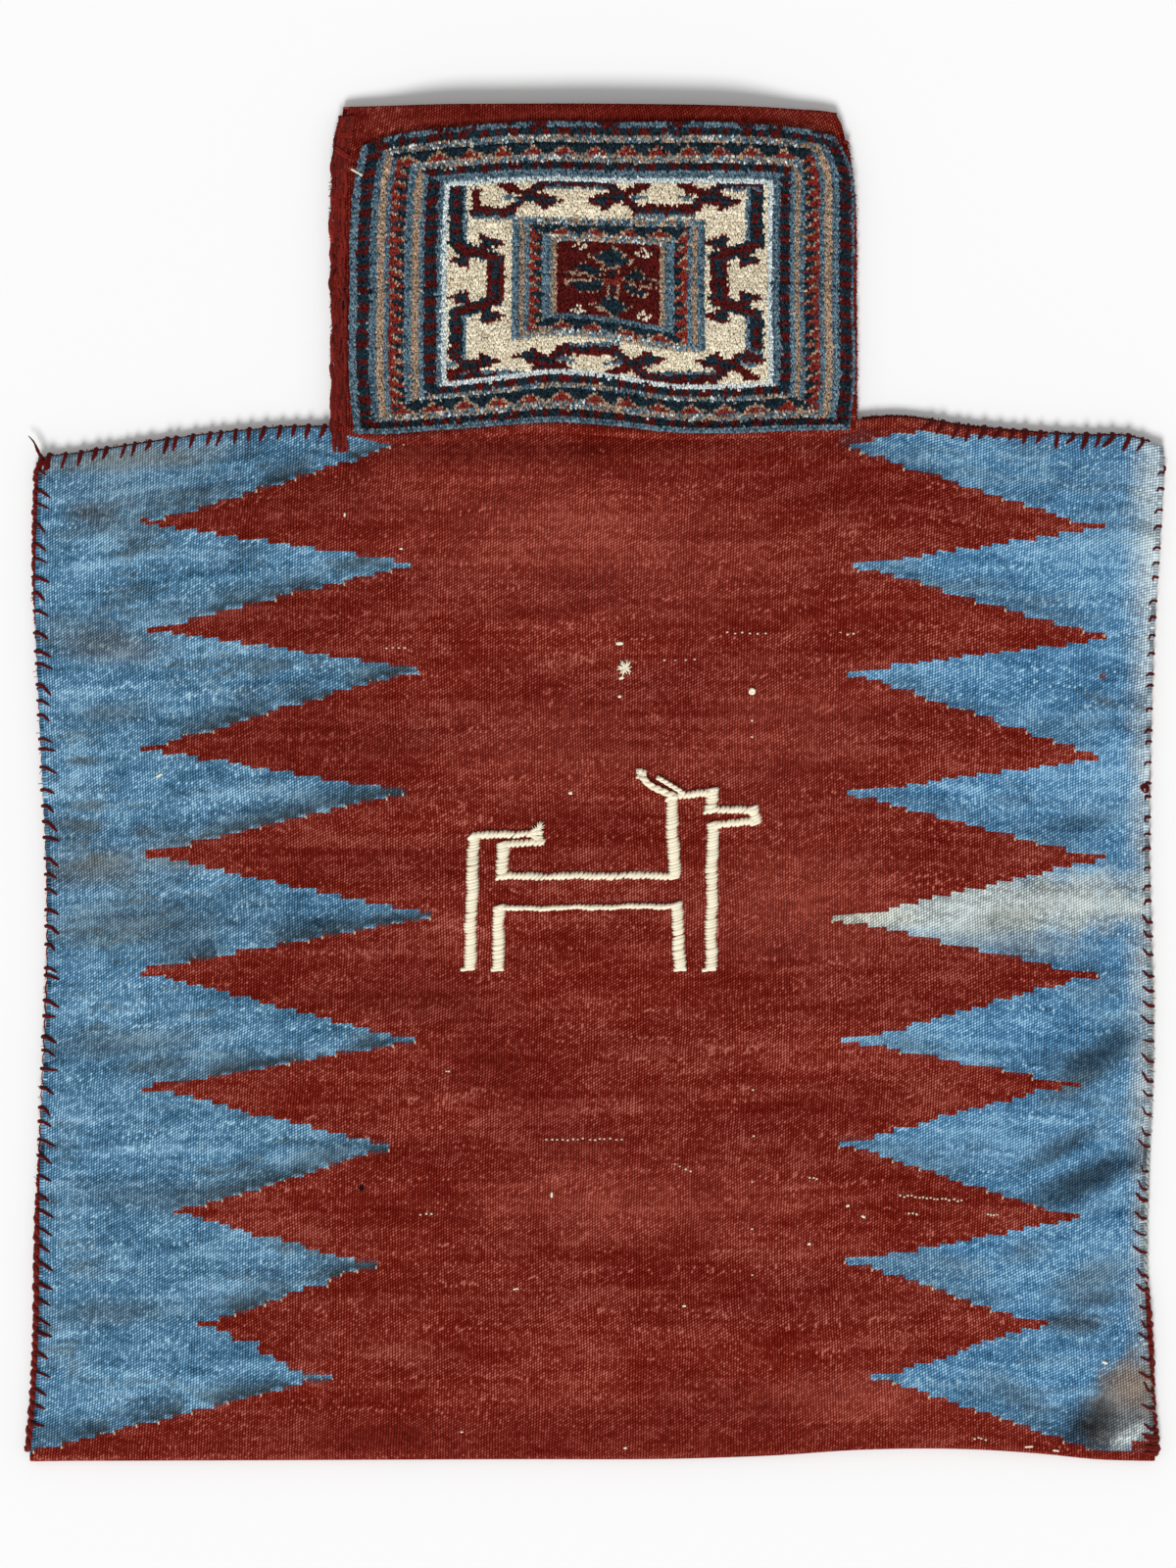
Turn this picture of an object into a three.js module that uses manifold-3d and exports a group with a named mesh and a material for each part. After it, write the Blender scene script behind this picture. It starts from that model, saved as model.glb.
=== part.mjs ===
// A woven salt bag lying flat on its back: one kilim strip folded at the bottom and overcast along its
// sides and shoulders, stepped blue tapestry fields, an animal in raised white yarn and a knotted pile neck.
// Millimetres, +X to the right of the front, +Y towards the mouth, +Z up out of the front.
import * as THREE from 'three';
import { ConvexGeometry } from 'three/addons/geometries/ConvexGeometry.js';
import { mergeVertices } from 'three/addons/utils/BufferGeometryUtils.js';
import Module from 'manifold-3d';

const wasm = await Module();
wasm.setup();

// Outline of the bag
const BAG_HEIGHT = 675;
const BODY_WIDTH = 554;
const SIDE_WAIST = 5;
const NECK_WIDTH = 258;
const MOUTH_WIDTH = 254;
const NECK_HEIGHT = 161;
const SHOULDER_DROP = 12;
const SHOULDER_CURVE = 1.6;

// Cloth and the slack between its two walls
const CLOTH = 2.6;
const POCKET_GAP = 9;
const SEAM_EASE = 60;
const FOLD_GAP = 2;
const FOLD_EASE = 60;
const EDGE_LIFT = 1.4;
const EDGE_LIFT_EASE = 18;
const SEAM_GAP = 0.3;
const SEAT_GAP = 0.3;

// Stepped edges of the blue fields
const STEPS_PER_SLOPE = 6;
const SLIT = 0.3;
const FIELD_TOP_MARGIN = 1;

// Overcast seams
const YARN = 1.6;
const SPINE = 1.8;
const STITCH_WIDTH = 2.2;
const STITCH_SLANT = 3;
const SIDE_PITCH_LEFT = 8.8;
const SIDE_PITCH_RIGHT = 7.3;
const SHOULDER_PITCH = 7.1;
const NECK_PITCH = 10;
const SIDE_REACH = 6;
const SHOULDER_REACH = 5;
const NECK_REACH_LEFT = 5.5;
const NECK_REACH_RIGHT = 3;
const SEAM_END = 6;

// Weave, and the raised yarn of the animal
const WARP_PITCH = 1.28;
const WEFT_PITCH = 1.42;
const ANIMAL_HEIGHT = 2.2;
const UPRIGHT_WIDTH = 6;
const LEVEL_WIDTH = 4;

// Knotted panel on the neck
const PILE = 3.5;
const MOUTH_BAND = 8;
const NECK_FOOT_BAND = 1;
const SELVEDGE_LEFT = 8;
const SELVEDGE_RIGHT = 5;
const PILE_GAP = 0.3;
const OUTER_CHECK_PITCH = 26;
const INNER_CHECK_PITCH = 24;
const BORDER_TRIANGLE_PITCH = 18;
const FRAME_TRIANGLE_PITCH = 12;
const COMB_BACK = 1;
const MEANDER_WIDTH = 4.6;
const MEANDER_MARGIN = 4.6;
const MEANDER_BAR = 22;
const MEANDER_PITCH = 60;
const PALMETTE_LENGTH = 10;
const PALMETTE_WIDTH = 9;
const CROSS_WIDTH = 2.4;

// Worked out from the sizes above
const HALF_HEIGHT = BAG_HEIGHT / 2;
const HALF_WIDTH = BODY_WIDTH / 2;
const HALF_NECK = NECK_WIDTH / 2;
const BODY_HEIGHT = BAG_HEIGHT - NECK_HEIGHT;
const NECK_BASE = HALF_HEIGHT - NECK_HEIGHT;
const BODY_FOOT = -HALF_HEIGHT + CLOTH + FOLD_GAP / 2;
const SEAM_TOP = EDGE_LIFT + 2 * CLOTH + SEAM_GAP;
const WALL_PARTING = EDGE_LIFT + CLOTH + SEAM_GAP / 2;
const SKY = 4 * (CLOTH + POCKET_GAP + PILE);

// Grid of the cloth: shares up the body from the fold, and angles round the fold
const BODY_LEVELS = [0, 0.05, 0.13, 0.35, 0.62, 0.88];
const FOLD_ANGLES = [50, 0, -50];

// Tips of the stepped fields, from the shoulder down: distance from the side seam, percent of the body's height
const LEFT_TIPS = [
  [180, 98.8], [53, 91.1], [187, 87], [53, 80.9], [189, 76.8], [51, 69.3], [183, 65], [50, 59.1], [195, 53.1],
  [48, 47.7], [187, 41.1], [53, 36.4], [178, 30.7], [65, 24.5], [168, 19.3], [78, 13.6], [144, 8.4], [12, 1.9],
];
const RIGHT_TIPS = [
  [155, 98.6], [25, 90.7], [149, 86.8], [21, 80], [153, 76.5], [23, 68.5], [152, 64.8], [24, 58.6], [157, 52.7],
  [28, 47.3], [152, 41.1], [39, 36.8], [157, 31.1], [36, 23.9], [152, 19.6], [52, 13.6], [140, 8.4], [32, 1.8],
];

// Bands of the knotted panel from its edge inwards: width at the sides, width at the top and the foot
const BORDER_BANDS = {
  outer_checks: [7.3, 4.6],
  blue_line_outer: [2.4, 1.4],
  tan_line_outer: [4.4, 2.6],
  border_triangles: [9, 7.6],
  blue_line_middle: [2, 1.4],
  tan_line_inner: [3.9, 2.8],
  inner_checks: [5.6, 4.6],
  blue_line_inner: [2.4, 1.7],
  pale_line: [4.2, 2.4],
};
const IVORY_BAND = [32, 17];
const FRAME_BANDS = {
  frame_blue: [3, 1.9],
  frame_tan: [3, 2],
  frame_triangles: [9, 6.8],
  frame_tan_inner: [3, 2],
};

const YARNS = {
  red: '#7c2e26',
  blue: '#4a82b4',
  white: '#ebe3cd',
  maroon: '#5a1212',
  teal: '#1b2f3b',
  pale_blue: '#7f9fb8',
  tan: '#c3a082',
  ivory: '#e4d2b2',
  dark_red: '#5c1114',
};

const bag = new THREE.Group();

function clamp(share) {
  return Math.min(1, Math.max(0, share));
}

function ease(share) {
  return Math.sin((Math.PI / 2) * clamp(share));
}

// Half the body's width at a height: the sides bow in a little
function sideHalf(y) {
  const share = clamp((y - BODY_FOOT) / (NECK_BASE - BODY_FOOT));
  return HALF_WIDTH - SIDE_WAIST * Math.sin(Math.PI * share);
}

// Half the neck's width at a height: it narrows to the mouth
function neckHalf(y) {
  const share = clamp((y - NECK_BASE) / NECK_HEIGHT);
  return HALF_NECK - ((NECK_WIDTH - MOUTH_WIDTH) / 2) * share * share;
}

// Height of the sloping shoulder seam
function shoulderY(x) {
  const share = clamp((Math.abs(x) - HALF_NECK) / (HALF_WIDTH - HALF_NECK));
  return NECK_BASE - SHOULDER_DROP * share ** SHOULDER_CURVE;
}

// Distance to the nearest sewn edge
function seamDistance(x, y) {
  const across = Math.abs(x);
  if (y >= NECK_BASE) return neckHalf(y) - across;
  const toSide = sideHalf(y) - across;
  if (across > HALF_NECK) return Math.min(toSide, shoulderY(x) - y);
  return Math.min(toSide, Math.hypot(HALF_NECK - across, NECK_BASE - y));
}

// Underside of the back wall: flat on the ground, curling up a little at the seams
function backLow(x, y) {
  return EDGE_LIFT * (1 - clamp(seamDistance(x, y) / EDGE_LIFT_EASE));
}

// Slack between the walls: none at the seams, a little at the fold, most in the middle
function pocketGap(x, y) {
  const open = FOLD_GAP + (POCKET_GAP - FOLD_GAP) * ease((y - BODY_FOOT) / FOLD_EASE);
  return SEAM_GAP + (open - SEAM_GAP) * ease(seamDistance(x, y) / SEAM_EASE);
}

function faceTop(x, y) {
  return backLow(x, y) + 2 * CLOTH + pocketGap(x, y);
}

// Columns of the grid: side is 0 across the neck and -1 or 1 beyond it, share runs from the middle or the
// neck to the edge, and inset is a distance back from there
const sideColumns = [{ share: 0.5, inset: 0 }, { share: 1, inset: EDGE_LIFT_EASE }, { share: 1, inset: 0 }];
const neckColumns = [{ share: 0.5, inset: 0 }, { share: 1, inset: EDGE_LIFT_EASE }, { share: 1, inset: 0 }];
const columns = [
  ...sideColumns.toReversed().map((column) => ({ ...column, half: -1, side: true })),
  ...neckColumns.toReversed().map((column) => ({ ...column, half: -1, side: false })),
  ...neckColumns.map((column) => ({ ...column, half: 1, side: false })),
  ...sideColumns.map((column) => ({ ...column, half: 1, side: true })),
];

// Levels of the grid: 0 is the fold, 1 the shoulders, 2 the mouth
const bodyLevels = [...BODY_LEVELS, 1 - EDGE_LIFT_EASE / (NECK_BASE - BODY_FOOT), 1];
const levels = [...bodyLevels, 2];

// Plan position of a grid point
function gridPoint({ half, side, share, inset }, level) {
  const nominal = BODY_FOOT + Math.min(level, 1) * (NECK_BASE - BODY_FOOT);
  if (side) {
    const x = half * (HALF_NECK + share * (sideHalf(nominal) - HALF_NECK) - inset);
    return [x, BODY_FOOT + level * (shoulderY(x) - BODY_FOOT)];
  }
  const y = nominal + Math.max(level - 1, 0) * NECK_HEIGHT;
  return [half * (share * neckHalf(y) - inset), y];
}

// A closed solid between two skins that share the same four-sided cells
function shell(outer, inner, cells) {
  const count = outer.length;
  const triangles = [];
  const edges = new Map();
  for (const [a, b, c, d] of cells) {
    triangles.push(a, b, c, a, c, d);
    triangles.push(count + a, count + c, count + b, count + a, count + d, count + c);
    for (const [from, to] of [[a, b], [b, c], [c, d], [d, a]]) {
      if (!edges.delete(`${to}_${from}`)) edges.set(`${from}_${to}`, [from, to]);
    }
  }
  for (const [from, to] of edges.values()) {
    triangles.push(to, from, count + from, to, count + from, count + to);
  }
  const geometry = new THREE.BufferGeometry();
  const points = [...outer, ...inner].flat();
  geometry.setAttribute('position', new THREE.Float32BufferAttribute(points, 3));
  geometry.setIndex(triangles);
  return solidOf(geometry);
}

function solidOf(geometry) {
  geometry.deleteAttribute('normal');
  geometry.deleteAttribute('uv');
  const merged = mergeVertices(geometry);
  const vertProperties = merged.attributes.position.array;
  const triVerts = new Uint32Array(merged.index.array);
  return new wasm.Manifold(new wasm.Mesh({ numProp: 3, vertProperties, triVerts }));
}

function prism(shape, low, high) {
  const geometry = new THREE.ExtrudeGeometry(shape, { depth: high - low, bevelEnabled: false });
  geometry.translate(0, 0, low);
  return solidOf(geometry);
}

function outline(points) {
  return new THREE.Shape(points.map(([x, y]) => new THREE.Vector2(x, y)));
}

function ring(outside, inside) {
  const shape = outline(outside);
  shape.holes.push(new THREE.Path(inside.map(([x, y]) => new THREE.Vector2(x, y))));
  return shape;
}

function addPiece(name, solid, yarn) {
  const { vertProperties, triVerts } = solid.getMesh();
  const geometry = new THREE.BufferGeometry();
  geometry.setAttribute('position', new THREE.BufferAttribute(vertProperties, 3));
  geometry.setIndex(new THREE.BufferAttribute(triVerts, 1));
  geometry.computeVertexNormals();
  const material = new THREE.MeshStandardMaterial({ color: YARNS[yarn], roughness: 0.95, metalness: 0 });
  const mesh = new THREE.Mesh(geometry, material);
  mesh.name = name;
  bag.add(mesh);
}

// Cells of a grid whose rows may lack the columns outside the neck
function gridCells(index) {
  const cells = [];
  for (let row = 0; row + 1 < index.length; row += 1) {
    for (let column = 0; column + 1 < columns.length; column += 1) {
      const cell = [
        index[row][column], index[row + 1][column], index[row + 1][column + 1], index[row][column + 1],
      ];
      if (cell.every((corner) => corner !== undefined)) cells.push(cell);
    }
  }
  return cells;
}

// Outer and inner point of the folded strip at one row and column
function stripPoint(row, column) {
  if (row.wall === 'fold') {
    const [x, y] = gridPoint(column, 0);
    const inner = pocketGap(x, y) / 2;
    const middle = backLow(x, y) + CLOTH + inner;
    const angle = THREE.MathUtils.degToRad(row.angle);
    return [CLOTH + inner, inner].map((r) => [x, y - r * Math.cos(angle), middle + r * Math.sin(angle)]);
  }
  const [x, y] = gridPoint(column, row.level);
  const low = backLow(x, y);
  if (row.wall === 'back') return [[x, y, low], [x, y, low + CLOTH]];
  const top = faceTop(x, y);
  return [[x, y, top], [x, y, top - CLOTH]];
}

// Walks the rows of a strip and gives its points and cells
function strip(rows, pointAt) {
  const outer = [];
  const inner = [];
  const index = rows.map((row) => columns.map((column) => {
    if (row.level > 1 && column.side) return undefined;
    const [above, below] = pointAt(row, column);
    outer.push(above);
    inner.push(below);
    return outer.length - 1;
  }));
  return shell(outer, inner, gridCells(index));
}

const frontRows = levels.toReversed().map((level) => ({ wall: 'front', level }));

// The whole strip: front from mouth to foot, the fold, and the back up to the mouth again
function foldedStrip() {
  const foldRows = FOLD_ANGLES.map((angle) => ({ wall: 'fold', angle }));
  const backRows = levels.map((level) => ({ wall: 'back', level }));
  return strip([...frontRows, ...foldRows, ...backRows], stripPoint);
}

// A layer of yarn lying on the front, which pieces are cut out of
function faceLayer(thickness) {
  return strip(frontRows, (row, column) => {
    const [x, y] = gridPoint(column, row.level);
    const low = faceTop(x, y) + SEAT_GAP;
    return [[x, y, low + thickness], [x, y, low]];
  });
}

// Stepped outline of a blue field; spread moves every edge outwards by that much
function steppedField(side, tips, spread) {
  const reaches = [];
  const heights = [];
  for (let tip = 0; tip + 1 < tips.length; tip += 1) {
    const [startReach, startHeight] = tips[tip];
    const [endReach, endHeight] = tips[tip + 1];
    for (let step = 0; step < STEPS_PER_SLOPE; step += 1) {
      const share = step / STEPS_PER_SLOPE;
      const middle = (step + 0.5) / STEPS_PER_SLOPE;
      reaches.push(startReach + (endReach - startReach) * middle);
      heights.push(((startHeight + (endHeight - startHeight) * share) / 100) * BODY_HEIGHT);
    }
  }
  const beyond = -HALF_NECK;
  const top = BODY_HEIGHT - FIELD_TOP_MARGIN + spread;
  const foot = (tips.at(-1)[1] / 100) * BODY_HEIGHT - spread;
  const edge = [[beyond, top], [reaches[0] + spread, top]];
  for (let step = 1; step < reaches.length; step += 1) {
    const turn = heights[step] + spread * Math.sign(reaches[step] - reaches[step - 1]);
    edge.push([reaches[step - 1] + spread, turn], [reaches[step] + spread, turn]);
  }
  edge.push([reaches.at(-1) + spread, foot], [beyond, foot]);
  return outline(edge.map(([reach, height]) => [side * (HALF_WIDTH - reach), height - HALF_HEIGHT]));
}

// Cloth and its blue fields: the fields are woven into the same wall, parted from the red by a slit
function addCloth() {
  const whole = foldedStrip();
  let red = whole;
  for (const [name, side, tips] of [['blue_field_left', -1, LEFT_TIPS], ['blue_field_right', 1, RIGHT_TIPS]]) {
    const field = prism(steppedField(side, tips, -SLIT / 2), WALL_PARTING, SKY);
    const cut = prism(steppedField(side, tips, SLIT / 2), WALL_PARTING, SKY);
    addPiece(name, whole.intersect(field), 'blue');
    red = red.subtract(cut);
  }
  addPiece('bag_cloth', red, 'red');
}

// A sewn edge: the plan points that the cloth's edge runs through and the direction into the cloth
function sewnEdge(points, inward) {
  const line = new THREE.CurvePath();
  const ends = points.map(([x, y]) => new THREE.Vector2(x, y));
  ends.slice(1).forEach((end, start) => line.add(new THREE.LineCurve(ends[start], end)));
  const at = (run) => line.getPoint(run / line.getLength()).toArray();
  return { length: line.getLength(), bends: line.getCurveLengths(), at, inward };
}

function sideEdge(half) {
  const points = bodyLevels.map((level) => gridPoint({ half, side: true, share: 1, inset: 0 }, level));
  return sewnEdge(points, [-half, 0]);
}

function shoulderEdge(half) {
  const stops = [{ share: 0, inset: 0 }, ...sideColumns];
  const points = stops.map((column) => gridPoint({ ...column, half, side: true }, 1));
  return sewnEdge(points, [0, -1]);
}

function neckEdge(half) {
  const points = [1, 2].map((level) => gridPoint({ half, side: false, share: 1, inset: 0 }, level));
  return sewnEdge(points, [-half, 0]);
}

function signedArea(corners) {
  return corners.reduce((sum, [x, y], corner) => {
    const [nextX, nextY] = corners[(corner + 1) % corners.length];
    return sum + (x * nextY - nextX * y) / 2;
  }, 0);
}

// Overcast seam: a cord along the edge with slanting stitches that dive into the front
function overcast(edge, pitch, reach) {
  const inset = ([x, y], depth) => [x + edge.inward[0] * depth, y + edge.inward[1] * depth];
  const stitches = Math.floor((edge.length - 2 * SEAM_END) / pitch);
  const start = (edge.length - stitches * pitch) / 2;
  const end = edge.length - start;
  const stops = [start, ...edge.bends.filter((run) => run > start && run < end), end];
  const corners = stops.flatMap((run) => [-SEAT_GAP - SPINE, -SEAT_GAP].map((depth) => inset(edge.at(run), depth)));
  const cells = stops.slice(1).map((_, stop) => [2 * stop, 2 * stop + 1, 2 * stop + 3, 2 * stop + 2]);
  if (signedArea(cells[0].map((corner) => corners[corner])) < 0) cells.forEach((cell) => cell.reverse());
  const low = SEAM_TOP + SEAT_GAP;
  const top = corners.map((corner) => [...corner, low + YARN]);
  const base = corners.map((corner) => [...corner, EDGE_LIFT]);
  let seam = shell(top, base, cells);
  for (let stitch = 0; stitch < stitches; stitch += 1) {
    const run = start + (stitch + 0.5) * pitch;
    const [back, middle, front] = [-0.5, 0, 0.5].map((share) => run - STITCH_SLANT / 2 + share * STITCH_WIDTH);
    const root = (at, z) => [...inset(edge.at(at), -SEAT_GAP - SPINE / 2), z];
    const [x, y] = inset(edge.at(middle + STITCH_SLANT), reach);
    const tip = [x, y, faceTop(x, y) + SEAT_GAP];
    const points = [root(back, low), root(front, low), root(middle, low + YARN), tip];
    seam = seam.add(solidOf(new ConvexGeometry(points.map((point) => new THREE.Vector3(...point)))));
  }
  return seam;
}

function addSeams() {
  addPiece('side_overcast_left', overcast(sideEdge(-1), SIDE_PITCH_LEFT, SIDE_REACH), 'maroon');
  addPiece('side_overcast_right', overcast(sideEdge(1), SIDE_PITCH_RIGHT, SIDE_REACH), 'maroon');
  addPiece('shoulder_overcast_left', overcast(shoulderEdge(-1), SHOULDER_PITCH, SHOULDER_REACH), 'maroon');
  addPiece('shoulder_overcast_right', overcast(shoulderEdge(1), SHOULDER_PITCH, SHOULDER_REACH), 'maroon');
  addPiece('neck_overcast_left', overcast(neckEdge(-1), NECK_PITCH, NECK_REACH_LEFT), 'maroon');
  addPiece('neck_overcast_right', overcast(neckEdge(1), NECK_PITCH, NECK_REACH_RIGHT), 'maroon');
}

// A line of wrapped yarn through plan points: broad where it runs upright, narrower where it runs level
function yarnLine(points) {
  let line;
  for (let run = 0; run + 1 < points.length; run += 1) {
    const start = new THREE.Vector2(...points[run]);
    const end = new THREE.Vector2(...points[run + 1]);
    const along = end.clone().sub(start).normalize();
    const width = Math.abs(along.y) > Math.abs(along.x) ? UPRIGHT_WIDTH : LEVEL_WIDTH;
    const across = new THREE.Vector2(-along.y, along.x).multiplyScalar(width / 2);
    start.addScaledVector(along, -LEVEL_WIDTH / 2);
    end.addScaledVector(along, LEVEL_WIDTH / 2);
    const shape = new THREE.Shape([
      start.clone().sub(across), end.clone().sub(across), end.clone().add(across), start.clone().add(across),
    ]);
    const bar = prism(shape, 0, SKY);
    line = line ? line.add(bar) : bar;
  }
  return line;
}

// The animal, drawn in warps across and wefts up from the middle of the bag: one strand round tail, back,
// head and chest, one under the belly, and a raised ear
function addAnimal() {
  const layer = faceLayer(ANIMAL_HEIGHT);
  const line = (points) => yarnLine(points.map(([warps, wefts]) => [warps * WARP_PITCH, wefts * WEFT_PITCH]));
  const body = line([
    [-49, -63], [-48, -17], [-22, -16], [-22, -20], [-36, -21], [-37, -32], [30, -32], [30, -4],
    [45, -3], [45, -8.5], [60, -8.5], [60, -13], [45, -14], [44.5, -63],
  ]);
  const ear = line([[16, 3.5], [30, -3]]);
  const belly = line([[-38, -63], [-38, -43], [31, -42], [32, -63]]);
  addPiece('animal_outline', layer.intersect(body.add(ear)), 'white');
  addPiece('animal_belly', layer.intersect(belly), 'white');
}

// Rectangle of plan points about the panel's centre
function box({ x, y, halfWidth, halfHeight }, grow) {
  const w = halfWidth + grow;
  const h = halfHeight + grow;
  return [[x - w, y - h], [x + w, y - h], [x + w, y + h], [x - w, y + h]];
}

function inward(area, [side, end]) {
  return { ...area, halfWidth: area.halfWidth - side, halfHeight: area.halfHeight - end };
}

// Rectangle with teeth along its four sides: profile gives one tooth as share of the step and rise outwards
function toothedBox(area, pitch, profile, grow) {
  const base = box(area, grow);
  const points = [];
  base.forEach((corner, side) => {
    const start = new THREE.Vector2(...corner);
    const along = new THREE.Vector2(...base[(side + 1) % base.length]).sub(start);
    const length = along.length() - 2 * grow;
    along.normalize();
    const out = new THREE.Vector2(along.y, -along.x);
    const teeth = Math.max(1, Math.floor(length / pitch));
    const step = length / teeth;
    points.push(corner);
    for (let tooth = 0; tooth < teeth; tooth += 1) {
      for (const [run, rise] of profile(step, grow)) {
        const place = start.clone().addScaledVector(along, grow + tooth * step + run);
        place.addScaledVector(out, rise);
        points.push([place.x, place.y]);
      }
    }
  });
  return points;
}

// Square teeth as wide as their gaps, or of a set width; a negative rise cuts inwards
function squareTooth(rise, width) {
  return (step, grow) => {
    const half = (width ?? step / 2) / 2 + Math.sign(rise) * grow;
    return [[-half, 0], [-half, rise], [half, rise], [half, 0]].map(([run, z]) => [step / 2 + run, z]);
  };
}

// Triangles side by side; the slopes move out by grow measured square to them
function triangleTooth(rise) {
  return (step, grow) => {
    const lift = grow * (Math.hypot(rise, step / 2) / (step / 2) - 1);
    return [[0, lift], [step / 2, rise + lift]];
  };
}

// Two colours of knots that interlock: teeth of the inner one stand between teeth of the outer one
function addInterlocked(layer, name, area, band, { pitch, tooth }) {
  const inner = inward(area, band);
  const base = inward(inner, [-COMB_BACK, -COMB_BACK]);
  const profile = tooth(Math.min(...band) - 2 * COMB_BACK - PILE_GAP);
  const innerRing = ring(toothedBox(base, pitch, profile, 0), box(inner, PILE_GAP / 2));
  const outerRing = ring(box(area, -PILE_GAP / 2), toothedBox(base, pitch, profile, PILE_GAP));
  addPiece(`${name}_teal`, layer.intersect(prism(innerRing, 0, SKY)), 'teal');
  addPiece(`${name}_red`, layer.intersect(prism(outerRing, 0, SKY)), 'dark_red');
}

function addLine(layer, name, area, band, yarn) {
  const line = ring(box(area, -PILE_GAP / 2), box(inward(area, band), PILE_GAP / 2));
  addPiece(name, layer.intersect(prism(line, 0, SKY)), yarn);
}

const LINE_YARNS = {
  blue_line_outer: 'pale_blue',
  tan_line_outer: 'tan',
  blue_line_middle: 'pale_blue',
  tan_line_inner: 'tan',
  blue_line_inner: 'pale_blue',
  pale_line: 'ivory',
  frame_blue: 'pale_blue',
  frame_tan: 'tan',
  frame_tan_inner: 'tan',
};
const TEETH = {
  outer_checks: { pitch: OUTER_CHECK_PITCH, tooth: squareTooth },
  border_triangles: { pitch: BORDER_TRIANGLE_PITCH, tooth: triangleTooth },
  inner_checks: { pitch: INNER_CHECK_PITCH, tooth: squareTooth },
  frame_triangles: { pitch: FRAME_TRIANGLE_PITCH, tooth: triangleTooth },
};

// Nested bands from the edge of an area inwards; gives the area that is left
function addBands(layer, area, bands) {
  let left = area;
  for (const [name, band] of Object.entries(bands)) {
    if (TEETH[name]) addInterlocked(layer, name, left, band, TEETH[name]);
    else addLine(layer, name, left, band, LINE_YARNS[name]);
    left = inward(left, band);
  }
  return left;
}

// The ivory band with a meander of dark red bars that step between an outer and an inner track
function addMeander(layer, area) {
  const inner = inward(area, IVORY_BAND);
  const margin = MEANDER_MARGIN + MEANDER_WIDTH / 2;
  const track = inward(area, [margin, margin]);
  const depth = Math.min(...IVORY_BAND) - 2 * margin;
  const step = squareTooth(-depth, MEANDER_BAR);
  const line = (grow) => toothedBox(track, MEANDER_PITCH, step, grow);
  const edge = MEANDER_WIDTH / 2;
  const outside = ring(box(area, -PILE_GAP / 2), line(edge + PILE_GAP));
  const inside = ring(line(-edge - PILE_GAP), box(inner, PILE_GAP / 2));
  addPiece('ivory_outside_meander', layer.intersect(prism(outside, 0, SKY)), 'ivory');
  addPiece('meander', layer.intersect(prism(ring(line(edge), line(-edge)), 0, SKY)), 'dark_red');
  addPiece('ivory_inside_meander', layer.intersect(prism(inside, 0, SKY)), 'ivory');
  return inner;
}

function diamond(x, y, halfWidth, halfHeight) {
  return outline([[x - halfWidth, y], [x, y - halfHeight], [x + halfWidth, y], [x, y + halfHeight]]);
}

function cross({ x, y }, arm, half) {
  return outline([
    [x - arm, y - half], [x - half, y - half], [x - half, y - arm], [x + half, y - arm],
    [x + half, y - half], [x + arm, y - half], [x + arm, y + half], [x + half, y + half],
    [x + half, y + arm], [x - half, y + arm], [x - half, y + half], [x - arm, y + half],
  ]);
}

// Middle field: four palmettes round a small cross
function addCentre(layer, area) {
  let field = layer.intersect(prism(outline(box(area, -PILE_GAP / 2)), 0, SKY));
  const half = CROSS_WIDTH / 2;
  const arm = PALMETTE_WIDTH / 2;
  const away = arm + PILE_GAP + PALMETTE_LENGTH / 2;
  const palmettes = [
    ['palmette_left', -away, 0, PALMETTE_LENGTH / 2, PALMETTE_WIDTH / 2],
    ['palmette_right', away, 0, PALMETTE_LENGTH / 2, PALMETTE_WIDTH / 2],
    ['palmette_bottom', 0, -away, PALMETTE_WIDTH / 2, PALMETTE_LENGTH / 2],
    ['palmette_top', 0, away, PALMETTE_WIDTH / 2, PALMETTE_LENGTH / 2],
  ];
  for (const [name, x, y, halfWidth, halfHeight] of palmettes) {
    const place = [area.x + x, area.y + y];
    const leaf = prism(diamond(...place, halfWidth, halfHeight), 0, SKY);
    const bed = prism(diamond(...place, halfWidth + 2 * PILE_GAP, halfHeight + 2 * PILE_GAP), 0, SKY);
    addPiece(name, layer.intersect(leaf), 'teal');
    field = field.subtract(bed);
  }
  addPiece('centre_cross', layer.intersect(prism(cross(area, arm - 2 * PILE_GAP, half), 0, SKY)), 'tan');
  field = field.subtract(prism(cross(area, arm, half + PILE_GAP), 0, SKY));
  addPiece('centre_field', field, 'dark_red');
}

// The knotted panel, from its outer border to its middle field
function addPile() {
  const layer = faceLayer(PILE);
  const top = HALF_HEIGHT - MOUTH_BAND;
  const foot = NECK_BASE + NECK_FOOT_BAND;
  const half = Math.min(NECK_WIDTH, MOUTH_WIDTH) / 2;
  const left = -half + SELVEDGE_LEFT;
  const right = half - SELVEDGE_RIGHT;
  const panel = {
    x: (left + right) / 2,
    y: (foot + top) / 2,
    halfWidth: (right - left) / 2,
    halfHeight: (top - foot) / 2,
  };
  const ivory = addBands(layer, panel, BORDER_BANDS);
  const frame = addMeander(layer, ivory);
  const centre = addBands(layer, frame, FRAME_BANDS);
  addCentre(layer, centre);
}

addCloth();
addSeams();
addAnimal();
addPile();

export default bag;
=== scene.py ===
import math

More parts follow.
